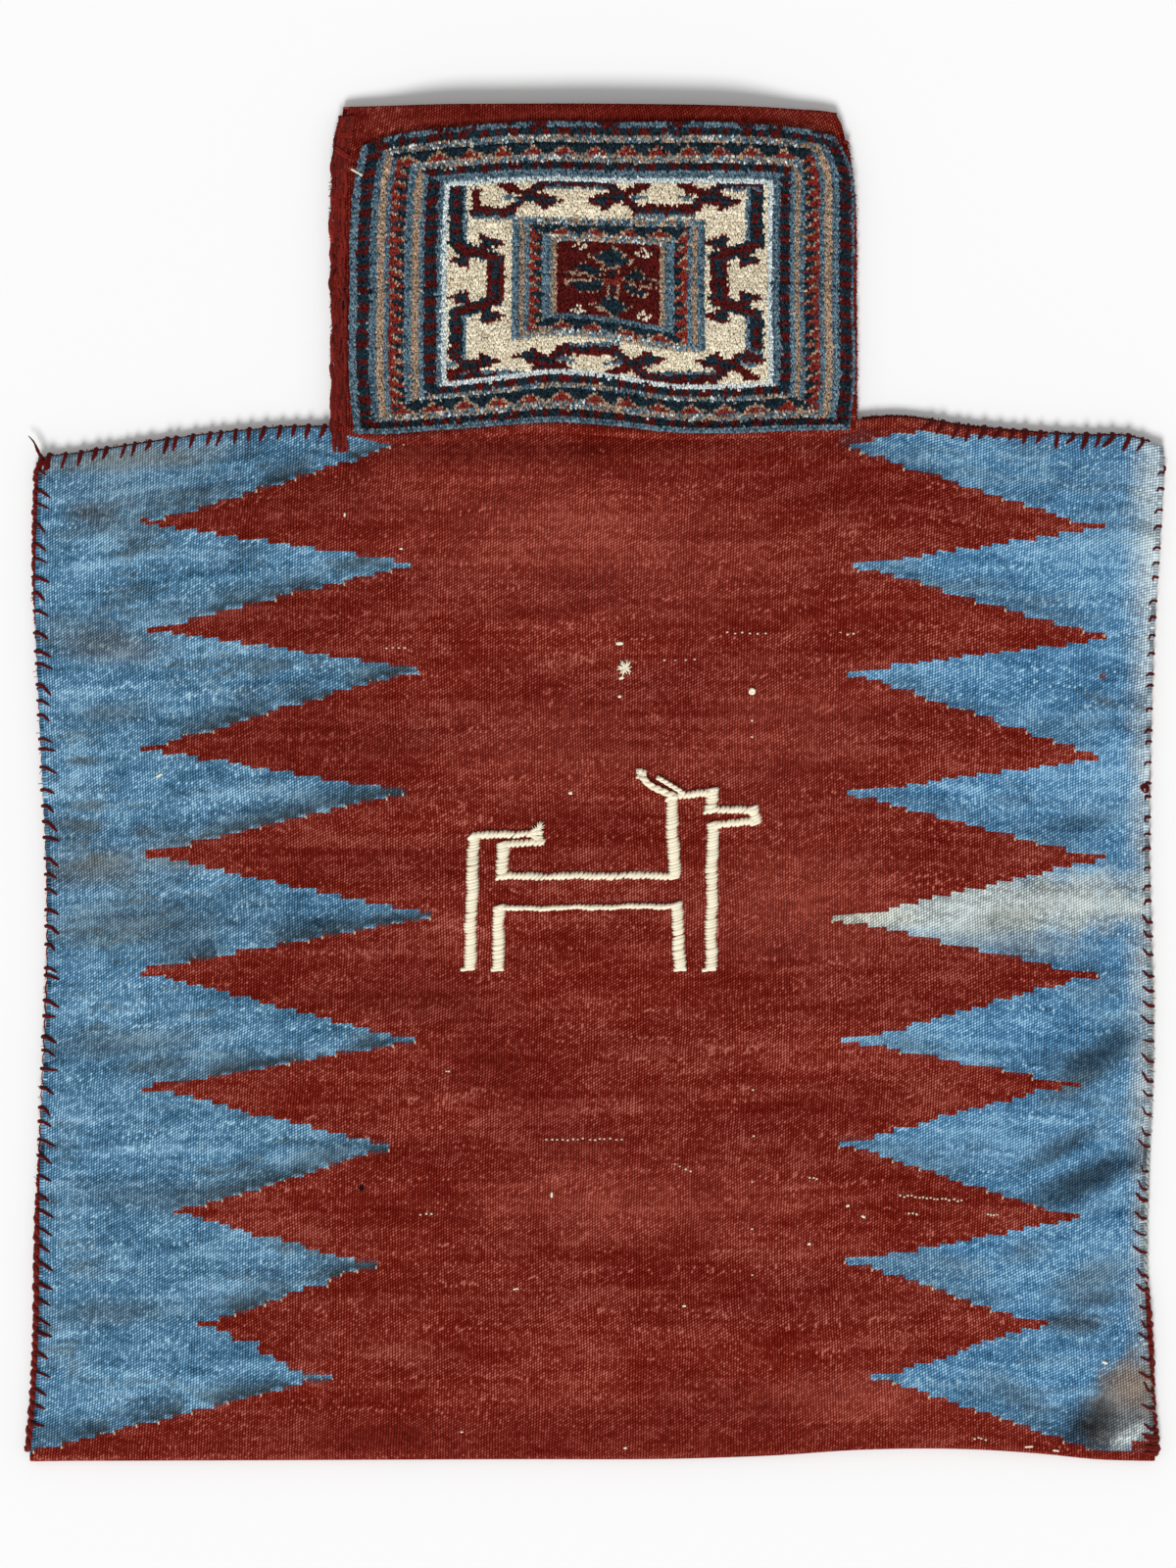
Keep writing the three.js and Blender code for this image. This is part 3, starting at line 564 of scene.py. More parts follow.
RIGHT_STAINS_AND_SHADING = [
    (281, 70, 11, 240, 0, 1.0, rgb(190, 202, 204), 0.85),
    (280, -220, 10, 150, 0, 1.0, rgb(168, 172, 168), 0.8),
    (198, -60, 88, 15, 3, 0.5, rgb(178, 186, 182), 0.9),
    (206, -66, 14, 5, 10, 0.8, rgb(128, 130, 122), 0.6),
    (130, -66, 22, 6, 0, 0.6, rgb(186, 186, 172), 0.85),
    (208, -78, 30, 6, -6, 0.9, rgb(146, 158, 162), 0.55),
    # Painted shade along the folds of the lower right, on their sides away from the light
    (243, -197, 33, 8, 24, 0.7, rgb(40, 58, 72), 0.95), (213, -231, 9, 5, 0, 0.8, DIRT_AND_FOLD_SHADE, 0.5),
    (249, -135, 24, 8, 30, 0.7, rgb(44, 64, 80), 0.9), (236, -150, 14, 4, 25, 0.9, DIRT_AND_FOLD_SHADE, 0.6),
    (230, -180, 20, 5, 28, 0.7, rgb(50, 70, 86), 0.85), (248, -256, 14, 4, 10, 0.9, DIRT_AND_FOLD_SHADE, 0.6),
    (178, -238, 12, 4, -12, 0.9, DIRT_AND_FOLD_SHADE, 0.45), (214, -306, 16, 5, -18, 0.9, DIRT_AND_FOLD_SHADE, 0.5),
    (247, -244, 17, 7, 15, 0.8, DIRT_AND_FOLD_SHADE, 0.6), (237, -267, 15, 5, 0, 0.7, rgb(62, 72, 78), 0.85),
    (200, -296, 13, 5, -20, 0.9, DIRT_AND_FOLD_SHADE, 0.4), (251, 43, 10, 2.5, -20, 0.8, DIRT_AND_FOLD_SHADE, 0.6),
    (243, -18, 14, 4, 5, 0.8, rgb(66, 92, 110), 0.65),
    (263, -309, 27, 17, 55, 0.35, rgb(104, 100, 94), 0.85),
    (245, -317, 14, 9, 30, 0.8, rgb(46, 48, 50), 0.95),
    (266, -298, 9, 11, 0, 0.8, rgb(138, 120, 106), 0.7),
    (266, -324.5, 9, 3.5, 35, 0.8, rgb(190, 200, 200), 0.8),
    (252, 54.4, 2, 1.6, 20, 0.5, rgb(120, 62, 50), 0.8),
    # Painted light beside the folds, on their sides towards the light
    (186, -180, 36, 10, 6, 1.0, rgb(112, 154, 184), 0.6),
    (252, -208, 26, 4, 24, 0.9, rgb(120, 164, 194), 0.6),
]
# Painted broad shade and painted broad light on the red cloth, where its slack turns from or towards the
# light
RED_SHADE = rgb(94, 24, 16)
RED_PAINTED_LIGHT = rgb(148, 68, 56)
RED_STAINS_AND_SHADING = [
    # The first two rows are painted shade in the crease at the neck's foot and the third is painted shade
    # above the pile's top edge; the rows in the two broad red colours paint the light and shade of the
    # cloth's slack
    (-70, 166, 70, 6, 0, 0.8, rgb(78, 12, 8), 0.7), (50, 168, 90, 4, 0, 0.8, rgb(84, 16, 10), 0.5),
    (0, 333, 130, 7, 0, 0.6, rgb(92, 22, 16), 0.8), (-120, 250, 10, 90, 0, 0.7, rgb(88, 17, 12), 0.8),
    (-7, 120, 80, 30, -10, 1.0, RED_PAINTED_LIGHT, 0.35), (38, 44, 95, 12, -4, 1.0, RED_SHADE, 0.28),
    (-48, -140, 58, 17, -46, 1.0, RED_SHADE, 0.5), (-5, -178, 26, 5, 8, 1.0, RED_SHADE, 0.5),
    (12, -207, 65, 14, 0, 1.0, RED_PAINTED_LIGHT, 0.35), (-105, -323, 30, 7, 0, 1.0, RED_SHADE, 0.7),
    (61, -304, 32, 11, -15, 1.0, RED_SHADE, 0.5), (128, -304, 32, 10, 0, 1.0, RED_PAINTED_LIGHT, 0.4),
    (-114, 22, 32, 7, 0, 1.0, RED_SHADE, 0.55), (-5, -17, 42, 9, -8, 1.0, RED_SHADE, 0.3),
    (-100, -102, 28, 9, 0, 1.0, RED_SHADE, 0.5), (80, 150, 60, 9, -8, 1.0, RED_SHADE, 0.3),
    (-165, 75, 55, 130, 0, 1.0, RED_SHADE, 0.4), (0, -330, 220, 16, 0, 1.0, RED_SHADE, 0.5),
    (99, -59, 40, 24, 0, 1.0, RED_PAINTED_LIGHT, 0.4), (-19, 20, 45, 18, 0, 1.0, RED_PAINTED_LIGHT, 0.3),
    (92, 26, 34, 26, 0, 1.0, RED_PAINTED_LIGHT, 0.25), (-116.5, -199.8, 1.5, 1.5, 0, 0.4, rgb(22, 12, 12), 0.95),
]

# Tones of the wefts, from painted shade in the gaps between the beads to a painted highlight on their crowns
RED_TONES = [rgb(70, 1, 0), rgb(99, 16, 7), rgb(115, 30, 19), rgb(134, 48, 36), rgb(186, 104, 90)]
LEFT_TONES = [rgb(26, 48, 62), rgb(64, 106, 136), rgb(84, 130, 164), rgb(106, 155, 192), rgb(170, 210, 232)]
RIGHT_TONES = [rgb(28, 56, 76), rgb(64, 110, 148), rgb(82, 134, 176), rgb(106, 160, 202), rgb(168, 210, 234)]
# Dirt in the weave as its colour and share
RED_SOIL = (rgb(98, 20, 14), 0.15)
LEFT_SOIL = (rgb(74, 86, 90), 0.7)
RIGHT_SOIL = (rgb(80, 100, 112), 0.4)
BLUE_WEAVE = {"rib_share": 0.6, "bead_share": 0.55, "clouds": 0.85, "grain": 0.42}
RED_WEAVE = {"rib_share": 0.65, "bead_share": 0.45, "clouds": 0.48, "grain": 0.33}
RED = weave("red_weft", RED_TONES, RED_STAINS_AND_SHADING, *RED_SOIL, **RED_WEAVE)
LEFT_BLUE = weave("left_blue_weft", LEFT_TONES, LEFT_STAINS, *LEFT_SOIL, **BLUE_WEAVE)
RIGHT_BLUE = weave("right_blue_weft", RIGHT_TONES, RIGHT_STAINS_AND_SHADING, *RIGHT_SOIL, **BLUE_WEAVE)

# The front wall, the fold, the back and the neck
CORNER_SHARE = 0.4
LOWER_SHARE = 0.06
UPPER_SHARE = 0.04
ROW_WOBBLE = 1.6
FOLD_STEPS = 9


def step_corners(yarn, x, y):
    """Places where a warp shows: at lower corners of the blue steps, and here and there along their edges."""
    above, below = yarn[1:], yarn[:-1]
    left = (above[:, :-1] == 1) & (above[:, 1:] == 0) & (below[:, :-1] == 0)
    right = (above[:, 1:] == 2) & (above[:, :-1] == 0) & (below[:, 1:] == 0)
    corners = (left | right) & (CHANCE.random(left.shape) < CORNER_SHARE)
    lower = (above > 0) & (below == 0) & (CHANCE.random(above.shape) < LOWER_SHARE)
    upper = (above == 0) & (below > 0) & (CHANCE.random(above.shape) < UPPER_SHARE)
    lines = (lower | upper)[:, :-1] & ~corners
    inner_x, inner_y = x[1:-1, 1:-1], y[1:-1, 1:-1]
    return np.stack([inner_x, inner_y, corners + 0.0], axis=-1)[corners | lines]


def front_grid(skin):
    """Points of the body's front with its rolled edges, and the faces of each yarn."""
    columns = round(2 * HALF_WIDTH / WARP)
    rows = round((NECK_BASE - BODY_FOOT) / ROW)
    share, angle = rolled(columns)
    heights = CHANCE.uniform(1 - ROW_SPREAD, 1 + ROW_SPREAD, rows)
    level = np.concatenate([[0], np.cumsum(heights) / heights.sum()])
    share, level = np.meshgrid(share, level)
    x, y = body_plan(share, level)
    z = face_top(x, y)
    u = share * columns * WARP
    v = level * rows * ROW
    x = x + ROLL_RADIUS * np.sin(angle)
    z = z - ROLL_RADIUS * (1 - np.cos(angle))
    over = np.radians(ROLL_ANGLES)[:, None]
    top_x = np.repeat(x[-1:], len(over), axis=0)
    top_y = y[-1] + ROLL_RADIUS * np.sin(over)
    top_z = z[-1] - ROLL_RADIUS * (1 - np.cos(over))
    x = np.concatenate([x, top_x])
    y = np.concatenate([y, top_y])
    z = np.concatenate([z, top_z])
    u = np.concatenate([u, np.repeat(u[-1:], len(over), axis=0)])
    v = np.concatenate([v, v[-1] + ROLL_RADIUS * over * np.ones_like(top_x)])
    index = skin.add(x, y, z, u, v, lower_edge_darkening(x, y))
    faces = grid_faces(index)
    middle_x = (x[:-1, :-1] + x[:-1, 1:]) / 2
    row_y = (y[:-1] + y[1:]) / 2
    row_y = (row_y[:, :-1] + row_y[:, 1:]) / 2
    in_neck = (np.abs(middle_x) < HALF_NECK) & (np.arange(len(faces))[:, None] >= rows)
    wobble = CHANCE.normal(0, ROW_WOBBLE, (len(faces), 1))
    left = middle_x < -HALF_WIDTH + field_reach(LEFT_TIPS, row_y) + wobble
    wobble = CHANCE.normal(0, ROW_WOBBLE, (len(faces), 1))
    right = middle_x > HALF_WIDTH - field_reach(RIGHT_TIPS, row_y) + wobble
    right &= (middle_x < RED_CORNER[0]) | (row_y > RED_CORNER[1])
    band_foot = curve(TOP, middle_x) - curve(SHOULDER_BAND, middle_x)
    right &= (middle_x > SHOULDER_BAND[-1][0]) | (row_y < band_foot)
    yarn = np.where(left, 1, np.where(right, 2, 0))
    yarn[in_neck] = -1
    return faces, yarn, (x[0], y[0], z[0], u[0]), step_corners(yarn, x, y)


def fold_grid(skin, foot):
    x, y, z, u = foot
    low = back_low(x, y)
    turn = np.radians(np.linspace(90, -90, FOLD_STEPS))[:, None]
    middle = (z + low) / 2
    half = (z - low) / 2
    index = skin.add(
        np.repeat(x[None], len(turn), axis=0),
        y - FOLD_RADIUS * np.cos(turn),
        middle + half * np.sin(turn),
        np.repeat(u[None], len(turn), axis=0),
        -FOLD_RADIUS * (np.pi / 2 - turn) * np.ones_like(x),
    )
    return grid_faces(index, flip=True)


def back_grid(skin):
    columns = round(2 * HALF_WIDTH / BACK_COLUMN)
    rows = round((NECK_BASE - BODY_FOOT) / BACK_ROW)
    share, angle = rolled(columns)
    share, level = np.meshgrid(share, np.linspace(0, 1, rows + 1))
    x, y = body_plan(share, level)
    z = back_low(x, y) + ROLL_RADIUS * (1 - np.cos(angle))
    x = x + ROLL_RADIUS * np.sin(angle)
    index = skin.add(x, y, z, share * columns * BACK_COLUMN, -level * rows * BACK_ROW)
    return grid_faces(index, flip=True)


NECK_ROWS = 60
NECK_CROWDING = 1.6
LINING = 18
MOUTH_ANGLES = [45, 90, 135, 180]


def neck_grids(skin):
    """Front and back of the neck, each turned in over the mouth."""
    columns = round(2 * HALF_NECK / BACK_COLUMN)
    share, angle = rolled(columns)
    share, level = np.meshgrid(share, np.linspace(0, 1, NECK_ROWS + 1) ** NECK_CROWDING)
    x, y = neck_plan(share, level)
    faces = []
    for front in (True, False):
        z = neck_top(x, y) if front else back_low(x, y)
        drop = -1 if front else 1
        z = z + drop * ROLL_RADIUS * (1 - np.cos(angle))
        across = x + ROLL_RADIUS * np.sin(angle)
        over = np.radians(MOUTH_ANGLES)[:, None]
        half = CLOTH / 2
        in_y = np.concatenate([y[-1] + half * np.sin(over), y[-1] - np.array([[LINING / 2], [LINING]])])
        lining_z = np.repeat(z[-1:] + drop * CLOTH, 2, axis=0)
        in_z = np.concatenate([z[-1] + drop * half * (1 - np.cos(over)), lining_z])
        grid_x = np.concatenate([across, np.repeat(across[-1:], len(in_y), axis=0)])
        grid_y = np.concatenate([y, in_y])
        grid_z = np.concatenate([z, in_z])
        u = np.repeat(share[:1], len(grid_x), axis=0) * columns * BACK_COLUMN
        index = skin.add(grid_x, grid_y, grid_z, u, grid_y)
        faces.append(grid_faces(index, flip=not front))
    return faces


def add_cloth():
    skin = Skin()
    faces, yarn, foot, corners = front_grid(skin)
    fold = fold_grid(skin, foot)
    back = back_grid(skin)
    neck = neck_grids(skin)
    red = np.concatenate([block.reshape(-1, 4) for block in (faces[yarn == 0], fold, back, *neck)])
    mesh = skin.mesh("bag_cloth_weave", red)
    merge_doubles(mesh)
    cloth = new_object("bag_cloth_weave", mesh, RED, ["bag_cloth"])
    pieces = [cloth]
    for name, number, material in (("blue_field_left", 1, LEFT_BLUE), ("blue_field_right", 2, RIGHT_BLUE)):
        mesh = skin.mesh(f"{name}_weave", faces[yarn == number])
        pieces.append(new_object(f"{name}_weave", mesh, material, [name]))
    return pieces, corners


cloth_pieces, warp_places = add_cloth()

# Yarn


def tube(path, radius, sides=6, plies=2, twist=0.55, groove=0.22):
    """Points and faces of twisted yarn along a path: its cross-section is lobed and turns as it runs."""
    path = np.asarray(path, float)
    radius = np.broadcast_to(np.asarray(radius, float), len(path))
    ahead = np.gradient(path, axis=0)
    ahead /= np.linalg.norm(ahead, axis=1, keepdims=True)
    helper = np.array([0.0, 0.0, 1.0]) if abs(ahead[0][2]) < 0.8 else np.array([1.0, 0.0, 0.0])
    across = np.zeros_like(path)
    for step, direction in enumerate(ahead):
        helper = helper - direction * (helper @ direction)
        helper /= np.linalg.norm(helper)
        across[step] = helper
    beside = np.cross(ahead, across)
    run = np.concatenate([[0], np.cumsum(np.linalg.norm(np.diff(path, axis=0), axis=1))])
    turn = np.linspace(0, 2 * np.pi, sides, endpoint=False)
    lobes = 1 + groove * np.cos(plies * turn[None] - run[:, None] * twist * 2 * np.pi / radius.mean() / plies)
    size = (radius[:, None] * lobes)[..., None]
    rings = path[:, None] + size * (
        across[:, None] * np.cos(turn)[None, :, None] + beside[:, None] * np.sin(turn)[None, :, None]
    )
    index = np.arange(len(path) * sides).reshape(len(path), sides)
    after = np.roll(index, -1, axis=1)
    walls = np.stack([index[:-1], after[:-1], after[1:], index[1:]], axis=-1).reshape(-1, 4).tolist()
    return rings.reshape(-1, 3), [*walls, index[0][::-1].tolist(), index[-1].tolist()]


class Yarns:
    """Strands gathered into one mesh."""

    def __init__(self):
        self.points = []
        self.faces = []
        self.shades = []
        self.count = 0

    def add(self, path, radius, shade=1.0, **options):
        points, faces = tube(path, radius, **options)
        self.points.append(points)
        self.faces += [[corner + self.count for corner in face] for face in faces]
        self.shades.append(np.full(len(points), shade))
        self.count += len(points)

    def piece(self, name, material, slot, nodes=()):
        mesh = bpy.data.meshes.new(name)
        mesh.from_pydata((np.concatenate(self.points) * MM).tolist(), [], self.faces)
        set_values(mesh, "shade", np.concatenate(self.shades))
        mesh.shade_smooth()
        return new_object(name, mesh, material, nodes)


def smooth_path(points, count):
    """Points along a smooth line through a few places."""
    points = np.asarray(points, float)
    run = np.concatenate([[0], np.cumsum(np.linalg.norm(np.diff(points, axis=0), axis=1))])
    at = np.linspace(0, run[-1], count)
    return np.stack([curve(np.stack([run, values], axis=1), at) for values in points.T], axis=1)


def on_face(x, y, lift=0.0):
    """A point on the front of the bag, lifted by that much."""
    return np.array([x, y, float(face_top(np.array(x), np.array(y))) + lift])


WHITE_YARN = fuzzy("white_yarn", rgb(250, 240, 214), spread=0.1, grain=2.2, depth=0.2)
MAROON = fuzzy("maroon_yarn", rgb(86, 12, 10), spread=0.4, grain=2.4, depth=0.3, sheen=0.05)

# The animal: strands wrapped over the warps, side by side along a drawn line
UPRIGHT_WIDTH = 4.7
UPRIGHT_PITCH = 1.45
UPRIGHT_SLANT = 1.3
LEVEL_WIDTH = 2.5
BELLY_WIDTH = 1.3
LEVEL_PITCH = 2.2
LEVEL_SLANT = 2.8
STRAND = 1.0
STRAND_STEPS = 6
STRAND_ARCH = 1.7
STRAND_SINK = 0.5
STRAND_SWAYS = [(0.28, 4.7), (0.16, 1.9)]
LAY_LENGTH = 4.2
SHORTEST_LAY = 5
PLY_OFFSET = 0.48
PLY_RADIUS = 0.64
ANIMAL_TAIL = [(-62.9, -90.3), (-60.8, -25.1), (-33, -23.8)]
ANIMAL_BODY = [
    (-28, -28.3), (-46.4, -29.5), (-47.1, -45.2), (38.8, -44.7), (37.3, -6), (57.8, -3.2), (56.4, -12.4),
    (77.8, -12), (78.8, -17.8), (57.8, -19.8), (56.9, -90.5),
]
ANIMAL_BELLY = [(-49, -90.5), (-48.1, -61.2), (39.8, -59.8), (41.7, -90.5)]

# Ends of the strand across a foot, ears with their points and radius, and the frayed ends of ear and tail
OUTLINE_FOOT = [(-4.6, -1.2), (2.6, -0.4)]
BELLY_FOOT = [(-3.4, -1), (3, -0.6)]
FOOT_RADIUS = 0.95
EARS = [
    ([(22.4, 4.6), (26, 0.6), (32, -2.6), (40, -6)], 26, 1.75),
    ([(30.2, 4), (36, 0.6), (43.4, -4)], 20, 1.25),
]
EAR_LIFT = 1.2
FANS = [((24, 3.6), (19.8, 4.2), (24.6, 7.8), 9), ((-34, -24), (-27.4, -20), (-26.2, -29), 11)]
FAN_RADIUS = 0.85
FAN_STEPS = 7
FRAYS = [(22, 5.6, 120, 45, 3.2, 16, 0.3), (-29, -22, 45, 40, 4.6, 16, 0.25)]
FIBRE_TAPER = np.array([1, 1, 1, 0.8, 0.4])


def wrap(yarns, start, end, width, pitch, slant):
    """Strands that lie across a straight line, each arched over it."""
    start = np.array(start)
    end = np.array(end)
    length = np.linalg.norm(end - start)
    along = (end - start) / length
    across = np.array([-along[1], along[0]])
    main = np.argmax(np.abs(along))
    across *= np.sign(across[1 - main])
    rise = along * np.sign(along[main])
    for run in np.arange(-pitch / 2, length + pitch / 2, pitch):
        sway = sum(size * math.sin(run / length) for size, length in STRAND_SWAYS)
        middle = start + along * (run + CHANCE.normal(0, 0.2)) + across * sway
        wide = width / 2 * CHANCE.normal(1, 0.08)
        path = []
        for share in np.linspace(-1, 1, STRAND_STEPS):
            x, y = middle + across * wide * share + rise * slant / 2 * share
            path.append(on_face(x, y, STRAND_ARCH * math.sqrt(max(0, 1 - share**4)) - STRAND_SINK))
        shade = CHANCE.normal(1, 0.04)
        yarns.add(path, STRAND * CHANCE.normal(1, 0.1), shade, twist=0.3, groove=0.12)


def wrap_line(yarns, points, level_width):
    for start, end in zip(points, points[1:]):
        upright = abs(end[1] - start[1]) > abs(end[0] - start[0])
        if upright:
            wrap(yarns, start, end, UPRIGHT_WIDTH, UPRIGHT_PITCH, UPRIGHT_SLANT)
        else:
            wrap(yarns, start, end, level_width, LEVEL_PITCH, LEVEL_SLANT)


def twine(yarns, path, radius):
    """A cord laid from two strands that turn round each other."""
    steps = np.linalg.norm(np.diff(path, axis=0), axis=1)
    lay = np.maximum(LAY_LENGTH * radius[1:], SHORTEST_LAY)
    turn = 2 * np.pi * np.concatenate([[0], np.cumsum(steps / lay)])
    ahead = np.gradient(path, axis=0)
    ahead /= np.linalg.norm(ahead, axis=1, keepdims=True)
    up = np.array([0.0, 0.0, 1.0])
    aside = np.cross(ahead, up)
    for start in (0, np.pi):
        offset = np.cos(turn + start)[:, None] * aside + np.sin(turn + start)[:, None] * up
        strand = path + PLY_OFFSET * radius[:, None] * offset
        yarns.add(strand, PLY_RADIUS * radius, CHANCE.normal(1, 0.08))


def loose_strand(yarns, points, radius, count=10, lift=0.9, shade=1.0):
    """A strand lying on the cloth through plan points."""
    path = smooth_path([on_face(x, y, lift) for x, y in points], count)
    yarns.add(path, np.full(count, radius), shade, twist=0.5, groove=0.2)


def fan(yarns, root, first, last, count):
    """Strands that spread flat from a root to a row of tips."""
    root = np.array(root)
    for share in np.linspace(0, 1, count):
        tip = np.array(first) + share * (np.array(last) - first) + CHANCE.normal(0, 0.5, 2)
        bend = (root + tip) / 2 + CHANCE.normal(0, 0.25, 2)
        path = [on_face(*root, 0.8), on_face(*bend, 1.3), on_face(*tip, 0.5)]
        radii = FAN_RADIUS * np.linspace(1, 0.7, FAN_STEPS)
        yarns.add(smooth_path(path, FAN_STEPS), radii, CHANCE.normal(1, 0.05))


def frayed_end(yarns, x, y, heading, spread, length, count, radius):
    """Fibres that fan out from the cut end of a strand."""
    for _ in range(count):
        turn = math.radians(CHANCE.normal(heading, spread))
        reach = length * CHANCE.uniform(0.6, 1.1)
        tip = (x + reach * math.cos(turn), y + reach * math.sin(turn))
        bend = ((x + tip[0]) / 2 + CHANCE.normal(0, 0.4), (y + tip[1]) / 2 + CHANCE.normal(0, 0.4))
        path = [on_face(x, y, 0.9), on_face(*bend, 1.4), on_face(*tip, 0.8)]
        yarns.add(smooth_path(path, len(FIBRE_TAPER)), radius * FIBRE_TAPER, CHANCE.normal(1, 0.06))


def add_feet(yarns, feet, ends):
    """A strand across the foot of each leg."""
    for x, y in feet:
        loose_strand(yarns, [(x + across, y + up) for across, up in ends], FOOT_RADIUS)


def add_animal():
    outline = Yarns()
    wrap_line(outline, ANIMAL_TAIL, LEVEL_WIDTH)
    wrap_line(outline, ANIMAL_BODY, LEVEL_WIDTH)
    add_feet(outline, (ANIMAL_TAIL[0], ANIMAL_BODY[-1]), OUTLINE_FOOT)
    for points, count, radius in EARS:
        ear = smooth_path([on_face(x, y, EAR_LIFT) for x, y in points], count)
        twine(outline, ear, np.full(count, radius))
    for spread, fray in zip(FANS, FRAYS):
        fan(outline, *spread)
        frayed_end(outline, *fray)
    outline.piece("animal_outline_yarn", WHITE_YARN, "white_yarn", ["animal_outline"])
    belly = Yarns()
    wrap_line(belly, ANIMAL_BELLY, BELLY_WIDTH)
    add_feet(belly, (ANIMAL_BELLY[0], ANIMAL_BELLY[-1]), BELLY_FOOT)
    belly.piece("animal_belly_yarn", WHITE_YARN, "white_yarn", ["animal_belly"])


add_animal()

# Seams: a cord along each sewn edge, and overcast stitches round it
EDGES = {
    "left": (LEFT_SIDE, (-1, 0)), "right": (RIGHT_SIDE, (1, 0)), "top": (TOP, (0, 1)),
    "neck_left": (NECK_LEFT, (-1, 0)), "neck_right": (NECK_RIGHT, (1, 0)),
}
EDGE_MIDDLE = EDGE_LIFT + CLOTH + SEAM_GAP / 2
CORD_STEP = 1.0
CORD_SINK = 0.3
CORD_RED = fuzzy("red_cord", rgb(108, 26, 19), spread=0.45, grain=1.6, depth=0.35, sheen=0.08)
SELVEDGE = fuzzy("selvedge_yarn", rgb(168, 176, 174), spread=0.5, grain=1.2, depth=0.35, sheen=0.08)
FOOT_AT = BODY_FOOT + 2
LEFT_TOP = 158
RIGHT_TOP = 164
STITCH_STEPS = 15
STITCH_CLEAR = 1.3
STITCH_THICKNESS = [(0, 0.55), (0.35, 1), (0.9, 1), (1, 0.6)]

# Runs of stitches: edge, start, end, pitch, reach into the cloth, slant, radius of the yarn and stand-off
LEFT_RUN = ("left", FOOT_AT + 14, LEFT_TOP, 8.8, 6.2, -3.0, 0.9, 0.9)
RIGHT_RUNS = [
    ("right", FOOT_AT + 12, -200, 8.6, 5.2, 3.4, 0.75, 0.9), ("right", -200, -60, 8.9, 4.8, 3.4, 0.7, 0.9),
    ("right", -60, RIGHT_TOP - 4, 9, 3, -1.6, 0.7, 0.5),
]
RIGHT_CORNER_RUN = ("right", FOOT_AT - 2, FOOT_AT + 8, 1.5, 5, 1.0, 1.0, 0.9)

# Cords: their radius at places along the edge, and the pitch and size of the bows between the stitches
LEFT_CORD = [
    (FOOT_AT, 2.5), (-290, 2.3), (-215, 2.1), (-190, 0.9), (-100, 0.5), (60, 0.5), (90, 0.9), (115, 1.5),
    (LEFT_TOP, 1.7),
]
RIGHT_CORD = [
    (FOOT_AT, 2.8), (-322, 2.0), (-300, 1.6), (-286, 2.2), (-262, 2.2), (-246, 1.4), (-225, 0.9), (-200, 1.2),
    (-180, 0.7), (-120, 0.5), (-60, 0.3), (RIGHT_TOP, 0.3),
]
RIGHT_SELVEDGE = [
    (-330, 0.8), (-300, 1.3), (-262, 0.9), (-246, 1.6), (-180, 1.6), (-120, 1.0), (-60, 0.6),
    (RIGHT_TOP, 0.6),
]
LEFT_BOWS = (8.8, 0.9)
RIGHT_BOWS = (8.9, 0.9)
SELVEDGE_BOWS = (8.9, 0.7)

# Knots: place, size, radius of the yarn and number of turns, and the tail of the left ones
LEFT_KNOTS = [(-275.5, 159, 6, 2.4, 1.1, 5), (-277.5, 157, 5, 1.6, 1.0, 3)]
RIGHT_KNOTS = [(282.5, 158, 4.5, 1.2, 0.7, 2), (273.5, -1.7, 6.5, 1.3, 0.8, 3)]
LEFT_TAIL = [(-275, 161, 6), (-278, 166, 7), (-281, 172, 6), (-283.5, 174.5, 5)]
TAIL_RADII = np.linspace(1.3, 0.2, 10)


def edge_point(edge, at):
    """Plan point on a sewn edge, with the directions out of the cloth and along the edge."""
    stops, outward = EDGES[edge]
    outward = np.array(outward, float)
    along = np.abs(outward[::-1])
    point = along * at + np.abs(outward) * curve(stops, at) + outward * ROLL_RADIUS
    return point, outward, along


def edge_cord(yarns, edge, radii, pitch, bow):
    """A cord along an edge, as thick as (place, radius) stops say and bowed outwards between the stitches."""
    start, end = radii[0][0], radii[-1][0]
    places = np.linspace(start, end, round((end - start) / CORD_STEP))
    path = []
    for at in places:
        point, outward, _ = edge_point(edge, at)
        swing = bow * abs(math.sin(math.pi * at / pitch))
        x, y = point + outward * (swing - CORD_SINK + CHANCE.normal(0, 0.1))
        path.append((x, y, EDGE_MIDDLE + CHANCE.normal(0, 0.12)))
    twine(yarns, np.array(path), curve(radii, places))


def stitch(yarns, edge, at, reach, slant, radius, out):
    """One turn of yarn from a place on the front, over the edge to the back."""
    point, outward, along = edge_point(edge, at)
    entry = point - outward * reach + along * slant
    near = point - outward * (ROLL_RADIUS + 0.45 * (reach - ROLL_RADIUS)) + along * (0.55 * slant)
    rim = point - outward * ROLL_RADIUS + along * (0.15 * slant)
    far = point + outward * out
    back = point - outward * (0.7 * reach) - along * (0.3 * slant)
    clear = STITCH_CLEAR * radius
    path = [
        on_face(*entry, -0.3), on_face(*near, 0.7 * radius), on_face(*rim, 0.5 * radius),
        np.array([*far, EDGE_MIDDLE + 1]), np.array([*far, EDGE_MIDDLE - 1]),
        np.array([*(point - outward * ROLL_RADIUS), max(clear, EDGE_LIFT)]),
        np.array([*back, max(clear, float(back_low(*back)))]),
    ]
    radii = radius * np.interp(np.linspace(0, 1, STITCH_STEPS), *zip(*STITCH_THICKNESS))
    yarns.add(smooth_path(path, STITCH_STEPS), radii, CHANCE.normal(1, 0.12), twist=0.35, groove=0.15)


